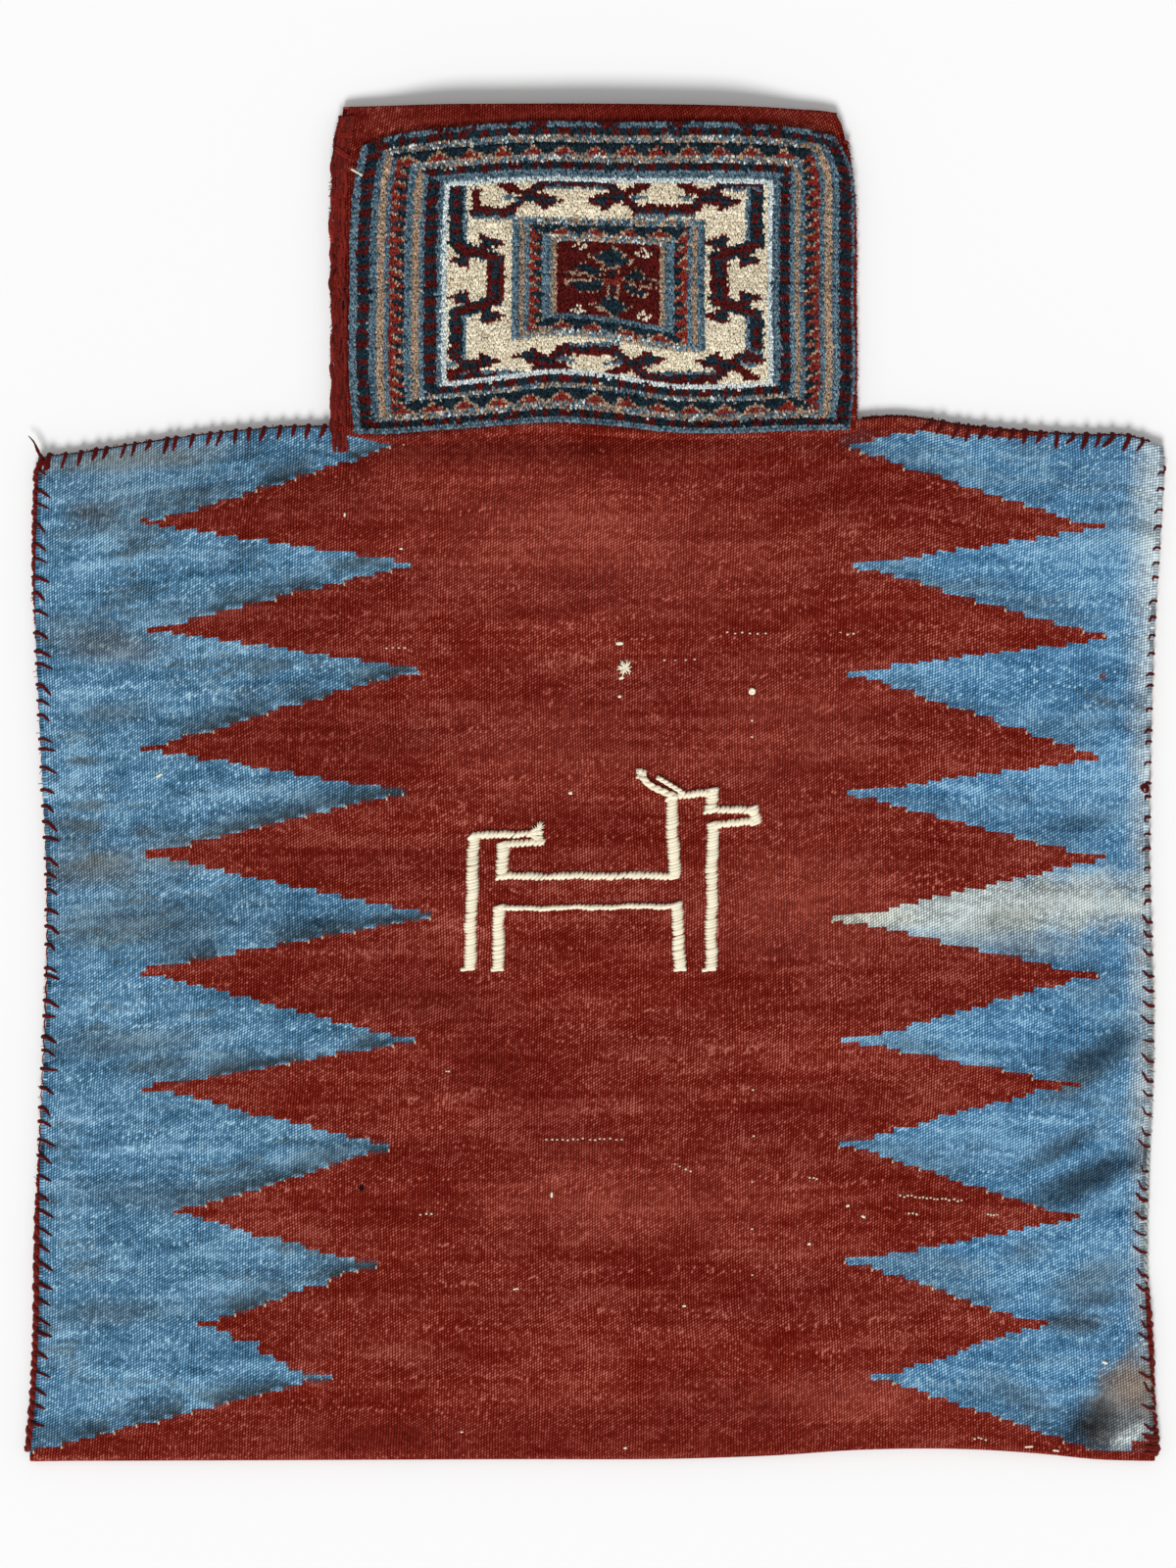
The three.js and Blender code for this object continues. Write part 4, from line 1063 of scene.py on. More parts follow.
def overcast(yarns, edge, start, end, pitch, reach, slant, radius, out):
    """Stitches side by side along an edge."""
    for at in np.arange(start, end, pitch):
        stitch(
            yarns, edge, at + CHANCE.normal(0, 0.14 * pitch), reach * CHANCE.normal(1, 0.16),
            slant * CHANCE.normal(1, 0.3), radius * CHANCE.normal(1, 0.12), out,
        )


def knot(yarns, x, y, z, size, radius, turns):
    """A knot: loops of yarn in different planes round one place."""
    for _ in range(turns):
        tilt = CHANCE.normal(0, 0.5, 3)
        turn = np.linspace(0, 2 * np.pi, 13)
        ring = np.stack([np.cos(turn), np.sin(turn), 0.4 * np.sin(turn + tilt[0])], axis=1)
        wide = size * CHANCE.normal(1, 0.15)
        path = np.array([x, y, z]) + ring * wide + tilt * size * 0.3
        path[:, 2] = np.maximum(path[:, 2], STITCH_CLEAR * radius)
        yarns.add(path, radius, CHANCE.normal(1, 0.1))


def hairs(yarns, edge, start, end, count, length, radius=0.16):
    """Fibres that stand off a cord."""
    for at in CHANCE.uniform(start, end, count):
        point, outward, along = edge_point(edge, at)
        lean = CHANCE.normal(0, 0.7)
        reach = length * CHANCE.uniform(0.4, 1)
        tip = point + outward * reach * math.cos(lean) + along * reach * math.sin(lean)
        bend = (point + tip) / 2 + along * CHANCE.normal(0, 0.5)
        high = EDGE_MIDDLE + CHANCE.normal(0, 0.8)
        path = [(*point, high), (*bend, high + 0.3), (*tip, high + CHANCE.normal(0, 0.4))]
        yarns.add(smooth_path(path, 4), radius, CHANCE.normal(1, 0.1), sides=4)


def add_side_seams():
    stitches = Yarns()
    overcast(stitches, *LEFT_RUN)
    for turns in LEFT_KNOTS:
        knot(stitches, *turns)
    stitches.add(smooth_path(LEFT_TAIL, len(TAIL_RADII)), TAIL_RADII)
    cords = Yarns()
    edge_cord(cords, "left", LEFT_CORD, *LEFT_BOWS)
    hairs(cords, "left", FOOT_AT, LEFT_TOP, 90, 3)
    stitches.piece("side_overcast_left_stitches", MAROON, "maroon_wool", ["side_overcast_left"])
    cords.piece("side_overcast_left_cord", CORD_RED, "maroon_wool", ["side_overcast_left"])
    stitches = Yarns()
    for run in RIGHT_RUNS:
        overcast(stitches, *run)
    for turns in RIGHT_KNOTS:
        knot(stitches, *turns)
    cords = Yarns()
    edge_cord(cords, "right", RIGHT_CORD, *RIGHT_BOWS)
    overcast(cords, *RIGHT_CORNER_RUN)
    hairs(cords, "right", FOOT_AT, -100, 60, 2.4)
    selvedge = Yarns()
    edge_cord(selvedge, "right", RIGHT_SELVEDGE, *SELVEDGE_BOWS)
    selvedge.piece("side_selvedge_right", SELVEDGE, "white_yarn", ["side_overcast_right"])
    stitches.piece("side_overcast_right_stitches", MAROON, "maroon_wool", ["side_overcast_right"])
    cords.piece("side_overcast_right_cord", CORD_RED, "maroon_wool", ["side_overcast_right"])


# Shoulder seams: name, start, end, first stitch, reach, slant, radius of the stitches and of the cord
SHOULDERS = [
    ("shoulder_overcast_left", -272, -HALF_NECK - 3, -272, 6, -1.6, 1.2, 0.9),
    ("shoulder_overcast_right", HALF_NECK + 6, 276, 166, 6.4, -3.4, 1.25, 1.1),
]
SHOULDER_PITCH = 7.1


def add_shoulder_seams():
    for name, start, end, first, reach, slant, radius, cord in SHOULDERS:
        yarns = Yarns()
        overcast(yarns, "top", first, end, SHOULDER_PITCH, reach, slant, radius, 0.5)
        edge_cord(yarns, "top", [(start - 2, cord), (end, cord)], SHOULDER_PITCH, 0.2)
        hairs(yarns, "top", start, end, 40, 2)
        yarns.piece(f"{name}_stitches", MAROON, "maroon_wool", [name])


# Neck seams: strands that bind the left edge side by side, in short runs, and stitches
NECK_SEAM_FOOT = 166
NECK_SEAM_TOP = 334
NECK_RIGHT_TOP = 322
BINDING_SPAN = (-0.6, 6.4)
BINDING_PITCH = 0.8
BINDING_STEP = 1.3
BINDING_RADIUS = 0.85
BINDING_SWAY = 0.4
BINDING_WAVES = (2.3, 5.1, 11.7)
BINDING_RUNS = (4, 14)
RIM_WIDTH = 0.5
RIM_DROP = 2.4
NECK_LEFT_RUN = ("neck_left", NECK_SEAM_FOOT + 3, NECK_SEAM_TOP - 1, 5.3, 5.2, 3.6, 0.7, 0.5)
NECK_RIGHT_RUN = ("neck_right", NECK_SEAM_FOOT + 10, NECK_RIGHT_TOP, 6.3, 2.6, 0.8, 0.6, 0.3)
NECK_RIGHT_CORD = [(NECK_SEAM_FOOT + 8, 0.7), (NECK_RIGHT_TOP, 0.5)]
NECK_RIGHT_BOWS = (11, 0.3)
NECK_STRANDS = [
    [(-127.6, 324.4), (-124.5, 324), (-120.8, 324.4)], [(-129.8, 317.6), (-126.6, 315), (-123, 312.6)],
]
NECK_STRAND_RIM = -124
NECK_STRAND_RADII = np.interp(np.arange(12), [0, 5, 11], [0.7, 1, 0.5])


def add_neck_seams():
    yarns = Yarns()
    for inward in np.arange(*BINDING_SPAN, BINDING_PITCH):
        phases = CHANCE.uniform(0, 2 * np.pi, len(BINDING_WAVES))
        path = []
        for at in np.arange(NECK_SEAM_FOOT, NECK_SEAM_TOP, BINDING_STEP):
            point, outward, _ = edge_point("neck_left", at)
            sways = [math.sin(at / length + start) for length, start in zip(BINDING_WAVES, phases)]
            x, y = point + outward * (BINDING_SWAY * sum(sways) - inward)
            over = EDGE_MIDDLE + 2 * CLOTH - RIM_DROP if inward < RIM_WIDTH else on_face(x, y)[2]
            path.append((x, y, over + CHANCE.normal(0.4, 0.15)))
        cuts = np.cumsum(CHANCE.integers(*BINDING_RUNS, len(path)))
        for start, end in zip([0, *cuts], cuts):
            run = path[start:end + 1]
            if len(run) > 2:
                radii = BINDING_RADIUS * CHANCE.normal(1, 0.12, len(run))
                yarns.add(run, radii, CHANCE.normal(1, 0.3), twist=0.2)
    overcast(yarns, *NECK_LEFT_RUN)
    for strand in NECK_STRANDS:
        path = [(x, y, on_face(max(x, NECK_STRAND_RIM), y, 0.7)[2]) for x, y in strand]
        path = smooth_path(path, len(NECK_STRAND_RADII))
        for shift in (-0.6, 0.6):
            yarns.add(path + [0, shift, 0], NECK_STRAND_RADII, 1.25)
    hairs(yarns, "neck_left", NECK_SEAM_FOOT, NECK_SEAM_TOP - 2, 220, 2.4)
    yarns.piece("neck_overcast_left_yarn", CORD_RED, "maroon_wool", ["neck_overcast_left"])
    yarns = Yarns()
    edge_cord(yarns, "neck_right", NECK_RIGHT_CORD, *NECK_RIGHT_BOWS)
    overcast(yarns, *NECK_RIGHT_RUN)
    hairs(yarns, "neck_right", NECK_SEAM_FOOT + 8, NECK_RIGHT_TOP, 25, 1.8)
    yarns.piece("neck_overcast_right_yarn", CORD_RED, "maroon_wool", ["neck_overcast_right"])


add_side_seams()
add_shoulder_seams()
add_neck_seams()

# Knotted pile on the neck: a lattice of knots inside four edge lines, as (x, height) or (height, x)
PANEL_TOP = [(-116.4, 318.4), (-104, 322.3), (-75, 326.2), (-19, 329.6), (-4, 329.2), (86, 328), (108, 325.7),
             (119, 323)]
PANEL_FOOT = [(-120.3, 175.6), (-109, 175.6), (-75, 178), (-19, 179.6), (-4, 179), (30, 177), (64, 176),
              (98, 176.4), (126, 177.4)]
PANEL_LEFT = [(175.6, -120.3), (199, -122.7), (244, -122.7), (277, -122.2), (300, -120.3), (318.4, -116.4)]
PANEL_RIGHT = [(177.4, 126), (199, 128.5), (244, 128), (277, 128.3), (311, 125.5), (323, 119)]
PILE_HEIGHT = 3.2
TUFTS = 2
TUFT_SPREADS = (1.5, 1.05)
ROOT_DEPTH = 0.6
ROOT_SHADE = 0.65
COMB = 0.45
RIM_EASE = 4
RIM_LEAST = 0.45

# How far the knots are faded: mean, and spread over knots, rows, columns and tufts
FADE = 0.5
KNOT_FADE = 0.2
ROW_FADE = 0.14
COLUMN_FADE = 0.1
TUFT_FADE = 0.16

# Bands of the border from the edge inwards, in knots
LEFT_BANDS = [("blue", 3), ("check", 5), ("blue", 3), ("tan", 3), ("blue", 2), ("teeth", 6), ("blue", 3),
              ("tan", 3), ("blue", 2), ("check", 5), ("blue", 2), ("white", 2)]
RIGHT_BANDS = [("blue", 1), ("check", 5), ("blue", 3), ("tan", 3), ("blue", 2), ("teeth", 6), ("blue", 2),
               ("tan", 2), ("blue", 2), ("check", 4), ("blue", 3), ("white", 2)]
TOP_BANDS = [
    ("fringe", 2), ("check", 3), ("mixed", 3), ("triangle", 5), ("mixed", 3), ("check", 3), ("blue", 3),
    ("white", 2),
]
FOOT_BANDS = [("blue", 2), ("check", 3), ("mixed", 3), ("peak", 5), ("mixed", 2), ("check", 3), ("white", 2)]
FRAME_SIDE_BANDS = [("blue", 3), ("tan", 2), ("blue", 2), ("teeth", 5), ("blue", 4), ("tan", 2)]
FRAME_TOP_BANDS = [("mixed", 3), ("triangle", 4), ("mixed", 3)]
FRAME_FOOT_BANDS = [("mixed", 3), ("peak", 4), ("blue", 2)]
MIXED_YARNS = {"tan": 0.45, "blue": 0.43, "white": 0.12}
IVORY_LEFT = 26
IVORY_RIGHT = 25
IVORY_TOP = 14
IVORY_FOOT = 13
CENTRE_COLUMNS = 41
CENTRE_ROWS = 31
CHECK_PITCH = 5.5
LEVEL_CHECK_PITCH = 7
TOOTH_PITCH = 4.4
TRIANGLE_PITCH = 13
KNOT_SLIPS = [0.05, 0.9, 0.05]
CHECK_RED = 0.45
TOOTH_LINE = 0.6
TRIANGLE_BASE = 0.2
TRIANGLE_SPREAD = 0.62
TRIANGLE_LINE = 0.8
FRINGE_WAVES = (2.3, 5.1)
FRINGE_RED = 1.1
FRINGE_TEAL = 0.6

# Each tone as its full and its faded colour
PILE_TONES = {
    "teal": (rgb(10, 21, 27), rgb(34, 59, 73)), "red": (rgb(62, 4, 3), rgb(108, 23, 18)),
    "madder": (rgb(120, 28, 20), rgb(156, 58, 46)), "blue": (rgb(48, 75, 93), rgb(126, 153, 167)),
    "tan": (rgb(134, 110, 92), rgb(200, 172, 144)), "ivory": (rgb(218, 202, 172), rgb(252, 244, 222)),
    "white": (rgb(190, 206, 210), rgb(240, 244, 240)),
}
TONE = {name: number for number, name in enumerate(PILE_TONES)}
PILE_NODES = {
    "teal": ["outer_checks_teal", "border_triangles_teal", "inner_checks_teal", "frame_triangles_teal",
             "palmette_left", "palmette_right", "palmette_bottom", "palmette_top"],
    "red": ["outer_checks_red", "inner_checks_red", "meander", "centre_field"],
    "madder": ["border_triangles_red", "frame_triangles_red"],
    "blue": ["blue_line_outer", "blue_line_middle", "blue_line_inner", "frame_blue"],
    "tan": ["tan_line_outer", "tan_line_inner", "frame_tan", "frame_tan_inner", "centre_cross"],
    "ivory": ["ivory_outside_meander", "ivory_inside_meander"],
    "white": ["pale_line"],
}

# Bands of a bar: from and to across it, tone, and the length and painted share of its dashes
OUTER_BAR = [(-4, 5, "blue", 1, 1), (-4, 3, "teal", 1, 1), (-2, 1.2, "red", 7, 0.55)]
INNER_BAR = [(-4.4, 4.4, "red", 1, 1), (-1.8, 1.8, "teal", 9, 0.7)]
LEVEL_BAR = [(-4, 2.4, "blue", 1, 1), (-2.4, 2.4, "red", 1, 1), (-1.8, 0, "teal", 9, 0.7)]

# The meander on the ivory ground: bars on an outer and an inner track, and crossings where it changes track
OUTER_TOP = 300
INNER_TOP = 286
OUTER_FOOT = 202
INNER_FOOT = 216
OUTER_LEFT = -69
INNER_LEFT = -50
OUTER_RIGHT = 79
INNER_RIGHT = 61
UPRIGHT_BARS = [
    (OUTER_LEFT, 302, 267, OUTER_BAR), (INNER_LEFT, 264, 240, INNER_BAR), (OUTER_LEFT, 236, 212, OUTER_BAR),
    (OUTER_RIGHT, 300, 267, OUTER_BAR), (INNER_RIGHT, 264, 240, INNER_BAR),
    (OUTER_RIGHT, 236, 213, OUTER_BAR),
]
LEVEL_BARS = [
    (-62, -40, INNER_TOP - 1, 1), (-29, 6, OUTER_TOP, 1), (18, 49, INNER_TOP, 1),
    (60, 82, OUTER_TOP - 0.5, 1), (-72, -30, OUTER_FOOT, -1), (-17, 11, INNER_FOOT, -1),
    (24, 60, OUTER_FOOT, -1), (71, 83, INNER_FOOT - 4, -1),
]
# Crossings: place, then the way along (1 or -1) and the way outwards (1 or -1)
LEVEL_CROSSINGS = [
    (-34, 293, 1, 1), (12, 293, -1, 1), (55, 292.5, 1, 1), (-24, 210.5, -1, -1), (17.5, 209, 1, -1),
    (66, 208, -1, -1), (-64, 208, 1, -1),
]
UPRIGHT_CROSSINGS = [(-62, 265, 1, 1), (-62, 238, 1, -1), (70, 265, -1, 1), (70, 238, -1, -1)]
STUB = (-59.5, 291)
STUB_HALF = (2.2, 5.5)

# Strokes of a crossing: ends as (along, outwards), tone of core and edge, and their half widths
LEVEL_STROKES = [
    ((-8, -6.5), (8, 6.5), "teal", "red", 0.9, 2.4), ((-9, 3.2), (1, 0), "red", "red", 1.2, 1.9),
    ((-13, -0.6), (-6, -1.6), "blue", "blue", 0.7, 1.0), ((-1, -0.6), (9, -2.4), "teal", "red", 1.5, 2.7),
]
UPRIGHT_STROKES = [((-6.8, 3), (12, -3), "red", "teal", 1.6, 3)]
# Barbs of a crossing: tip, whether it points back, turn outwards, length, half width and tone of the core
LEVEL_BARBS = [((-16, 5.6), True, 12, 9, 3.6, "red"), ((18, -2.8), False, 0, 12.5, 4.6, "teal")]
UPRIGHT_BARBS = [((-13, -4), True, 0, 12, 4.4, "teal"), ((18.5, 4.6), False, 0, 14, 4.6, "teal")]
BARB_RIM = 1.2

# How far the pattern sags and rises across the panel, as (x, height), and over which share of its rows
SAG = [(-122, 0), (-73, -2.2), (-45, -0.3), (-20, 3), (5, 1.8), (35, -2.4), (60, -2), (91, 0.5), (126, 0)]
SAG_START = 0.35
SAG_SPAN = 0.75


def lattice(columns, rows):
    """Plan places of the knots, row by row from the top, inside the panel's four edge lines."""
    u = (np.arange(columns) + 0.5) / columns
    v = (np.arange(rows)[:, None] + 0.5) / rows
    top_x, foot_x = [line[0][0] + u * (line[-1][0] - line[0][0]) for line in (PANEL_TOP, PANEL_FOOT)]
    top_y = curve(PANEL_TOP, top_x)
    foot_y = curve(PANEL_FOOT, foot_x)
    sag = np.sin(np.pi * np.clip((v - SAG_START) / SAG_SPAN, 0, 1))
    y = top_y + v * (foot_y - top_y) + curve(SAG, top_x) * sag
    left = curve(PANEL_LEFT, y)
    right = curve(PANEL_RIGHT, y)
    return left + u * (right - left), y


def band_width(*borders):
    """Number of knots across some borders."""
    return sum(width for bands in borders for _, width in bands)


def knot_depth(bands, depth):
    """Name of the band at each depth, the depth inside it and the width of the band."""
    names = np.array([name for name, width in bands for _ in range(width)])
    inside = np.array([step for _, width in bands for step in range(width)])
    widths = np.array([width for _, width in bands for _ in range(width)])
    at = np.clip(depth, 0, len(names) - 1)
    return names[at], inside[at], widths[at]


def band_tone(names, inside, widths, run, level):
    """Tone of the knots in a border, from the band's name, the depth inside it and the run along it."""
    tone = np.full(names.shape, TONE["blue"])
    for plain in ("tan", "white"):
        tone[names == plain] = TONE[plain]
    strand = CHANCE.choice([TONE[name] for name in MIXED_YARNS], names.shape, p=list(MIXED_YARNS.values()))
    tone = np.where(names == "mixed", strand, tone)
    broken = sum(np.sin(run / length) for length in FRINGE_WAVES) + CHANCE.normal(0, 0.7, run.shape)
    rim = np.where(broken > FRINGE_TEAL, TONE["teal"], TONE["blue"])
    rim = np.where(broken > FRINGE_RED, TONE["red"], rim)
    tone = np.where(names == "fringe", rim, tone)
    uneven = run / (LEVEL_CHECK_PITCH if level else CHECK_PITCH) + 0.2 * np.sin(run / 3)
    check = np.where(uneven % 1 < CHECK_RED, TONE["red"], TONE["teal"])
    tone = np.where(names == "check", check, tone)
    slope = run / TOOTH_PITCH % 1 * (widths + 1) - 0.5
    tooth = np.where(inside < slope - TOOTH_LINE, TONE["madder"], TONE["teal"])
    tooth = np.where(np.abs(inside - slope) <= TOOTH_LINE, TONE["tan"], tooth)
    tone = np.where(names == "teeth", tooth, tone)
    away = np.abs(run / TRIANGLE_PITCH % 1 - 0.5) * TRIANGLE_PITCH
    for name, depth in (("triangle", inside), ("peak", widths - 1 - inside)):
        reach = (depth - TRIANGLE_BASE * widths) * TRIANGLE_PITCH / widths * TRIANGLE_SPREAD
        shape = np.where(away < reach - 0.7, TONE["madder"], TONE["teal"])
        shape = np.where(np.abs(away - reach) <= TRIANGLE_LINE, TONE["tan"], shape)
        tone = np.where(names == name, shape, tone)
    return tone


def border(tone, column, row, size, sides):
    """Paints the bands of a border on every knot that lies in it."""
    columns, rows = size
    depths = {"left": column, "right": columns - 1 - column, "top": row, "foot": rows - 1 - row}
    totals = {name: band_width(bands) for name, bands in sides.items()}
    progress = np.stack([depths[name] / totals[name] for name in sides])
    nearest = np.argmin(progress, axis=0)
    inside = (progress.min(axis=0) < 1) & (column >= 0) & (column < columns) & (row >= 0) & (row < rows)
    for number, (name, bands) in enumerate(sides.items()):
        level = name in ("top", "foot")
        slip = CHANCE.choice([-1, 0, 1], column.shape, p=KNOT_SLIPS)
        names, step, widths = knot_depth(bands, depths[name] + slip)
        run = (column if level else row) + CHANCE.normal(0, 0.3, column.shape)
        made = band_tone(names, step, widths, run, level)
        here = inside & (nearest == number)
        tone[here] = made[here]


def stroke_distance(x, y, start, end):
    """Distance to a straight stroke."""
    run = np.array(end, float) - np.array(start, float)
    share = np.clip(((x - start[0]) * run[0] + (y - start[1]) * run[1]) / (run @ run), 0, 1)
    return np.hypot(x - start[0] - share * run[0], y - start[1] - share * run[1])


def paint(tone, where, name):
    tone[where] = TONE[name]


def paint_barb(tone, ground, x, y, tip, heading, length, half, core):
    """A red arrowhead with a core, its tip at a place, pointing along a heading in degrees."""
    turn = math.radians(heading)
    behind = -(x - tip[0]) * math.cos(turn) - (y - tip[1]) * math.sin(turn)
    across = np.abs((y - tip[1]) * math.cos(turn) - (x - tip[0]) * math.sin(turn))
    reach = half * behind / length
    inside = ground & (behind > 0) & (behind < length) & (across < reach)
    paint(tone, inside, "red")
    paint(tone, inside & (behind < length - BARB_RIM) & (across < reach - BARB_RIM), core)


def paint_bar(tone, along, across, run, bands):
    for low, high, name, dash, share in bands:
        paint(tone, along & (across > low) & (across < high) & (run / dash % 1 < share), name)


def paint_bars(tone, ground, x, y):
    for middle, high, foot, bands in UPRIGHT_BARS:
        inward = math.copysign(1, -middle) * (x - middle)
        paint_bar(tone, ground & (y < high) & (y > foot), inward, y, bands)
    for start, end, height, outward in LEVEL_BARS:
        paint_bar(tone, ground & (x > start) & (x < end), (y - height) * outward, x, LEVEL_BAR)


def paint_crossing(tone, ground, x, y, crossing, strokes, barbs):
    """The link between two tracks, and the two barbs that spring from it."""
    middle_x, middle_y, way, outward = crossing
    forward = 0 if way > 0 else 180

    def at(along, out):
        return middle_x + along * way, middle_y + out * outward

    for start, end, core, edge, core_half, half in strokes:
        away = stroke_distance(x, y, at(*start), at(*end))
        paint(tone, ground & (away < half), edge)
        paint(tone, ground & (away < core_half), core)
    for tip, back, turn, length, half, core in barbs:
        heading = (180 - forward if back else forward) - turn * way * outward
        paint_barb(tone, ground, x, y, at(*tip), heading, length, half, core)


def paint_meander(tone, ground, x, y):
    paint_bars(tone, ground, x, y)
    for crossing in LEVEL_CROSSINGS:
        paint_crossing(tone, ground, x, y, crossing, LEVEL_STROKES, LEVEL_BARBS)
    stub = (np.abs(x - STUB[0]) < STUB_HALF[0]) & (np.abs(y - STUB[1]) < STUB_HALF[1])
    paint(tone, ground & stub, "red")
    for crossing in UPRIGHT_CROSSINGS:
        paint_crossing(tone, ground, x, y, crossing, UPRIGHT_STROKES, UPRIGHT_BARBS)


# Figures of the middle field: corners of the palmettes and of the arms of the leaves, strokes, and ivory dots
PALMETTES = [
    [(-0.6, 262.6), (8.6, 257.2), (16.4, 260), (7.6, 266.2)],
    [(1.2, 239.3), (8.6, 233.2), (15.6, 237.4), (7.8, 242.2)],
]
LEAVES = [
    [(-13.6, 256), (-2.4, 254), (3.4, 251), (0.4, 255.6), (-6.2, 259)],
    [(-15, 250.9), (-5.4, 245.6), (1.6, 247.4), (3.4, 251.2), (-3.6, 250.4)],
    [(13.2, 250.8), (17.6, 251.2), (25.8, 250.8), (20.3, 256), (16.6, 253.8)],
    [(13.2, 250.4), (16, 245.4), (22.4, 243.4), (29, 246.4), (17.4, 248)],
]
TAN_STROKES = [
    ((-14.9, 255.3), (-3.2, 253.5)), ((-3, 253.4), (-2.6, 251.4)), ((-15.4, 251.6), (-4.6, 251.1)),
    ((18, 251.6), (18.4, 249.2)), ((18.6, 248.7), (30, 247)), ((25.4, 252.6), (31, 249.6)),
    ((5.4, 258), (5.4, 252.8)), ((10.6, 258), (10.6, 252.8)), ((5.6, 248.2), (5.8, 242)),
    ((10.8, 248.2), (10.8, 242)), ((-3.6, 263.4), (4, 258.8)), ((8, 267.4), (19.6, 260.2)),
    ((-3, 239.4), (10, 231.6)),
]
STEMS = [((8, 257.5), (8, 252.7)), ((8.1, 248), (8.1, 242))]
FIELD_CENTRE = ((5.8, 250.5), (10.8, 250.5))
DOTS = [(-8.2, 267.9), (23.4, 264.4), (-8.4, 236.1), (23.4, 232.6)]
DOT_PARTS = [(-2.6, 0), (2.6, -0.4), (0, 1.7), (0.4, -1.7)]
DOT_RADIUS = 1.1
FIGURE_RIM = 1.5
FIGURE_GROWTH = 0.5
RIM_SLANT = 1.2
RIM_DASH = 3.4
RIM_DASH_SHARE = 0.4
STROKE_KINDS = [(TAN_STROKES, "tan", 0.6), (STEMS, "teal", 0.95), ([FIELD_CENTRE], "madder", 1.8)]


def inset(x, y, corners):
    """How far inside a figure with corners in left-hand order a place lies."""
    depths = []
    for start, end in zip(corners, corners[1:] + corners[:1]):
        run = np.array(end, float) - start
        depths.append((run[0] * (y - start[1]) - run[1] * (x - start[0])) / np.hypot(*run))
    return np.min(depths, axis=0)


def paint_centre(tone, ground, x, y):
    paint(tone, ground, "red")
    dashes = (x - RIM_SLANT * y) / RIM_DASH % 1 < RIM_DASH_SHARE
    for corners in PALMETTES + LEAVES:
        paint(tone, ground & (inset(x, y, corners) > -FIGURE_RIM) & dashes, "tan")
    for corners in PALMETTES + LEAVES:
        paint(tone, ground & (inset(x, y, corners) > -FIGURE_GROWTH), "teal")
    for strokes, name, half in STROKE_KINDS:
        for start, end in strokes:
            paint(tone, ground & (stroke_distance(x, y, start, end) < half), name)
    for dot_x, dot_y in DOTS:
        for part_x, part_y in DOT_PARTS:
            paint(tone, ground & (np.hypot(x - dot_x - part_x, y - dot_y - part_y) < DOT_RADIUS), "ivory")


def knot_tones(columns, rows, x, y):
    """Number of the tone of every knot in the panel."""
    column, row = np.meshgrid(np.arange(columns), np.arange(rows))
    tone = np.full((rows, columns), TONE["ivory"])
    border(tone, column, row, (columns, rows), {
        "left": LEFT_BANDS, "right": RIGHT_BANDS, "top": TOP_BANDS, "foot": FOOT_BANDS,
    })
    ivory = tone == TONE["ivory"]
    side = band_width(FRAME_SIDE_BANDS)
    top = band_width(FRAME_TOP_BANDS)
    foot = band_width(FRAME_FOOT_BANDS)
    wide = CENTRE_COLUMNS + 2 * side
    high = CENTRE_ROWS + top + foot
    column = column - band_width(LEFT_BANDS) - IVORY_LEFT
    row = row - band_width(TOP_BANDS) - IVORY_TOP
    framed = (column >= 0) & (column < wide) & (row >= 0) & (row < high)
    centre = (column >= side) & (column < wide - side) & (row >= top) & (row < high - foot)
    x = x + CHANCE.normal(0, 0.35, x.shape)
    y = y + CHANCE.normal(0, 0.35, y.shape)
    paint_meander(tone, ivory & ~framed, x, y)
    paint_centre(tone, centre, x, y)
    border(tone, column, row, (wide, high), {
        "left": FRAME_SIDE_BANDS, "right": FRAME_SIDE_BANDS, "top": FRAME_TOP_BANDS, "foot": FRAME_FOOT_BANDS,
    })
    return tone


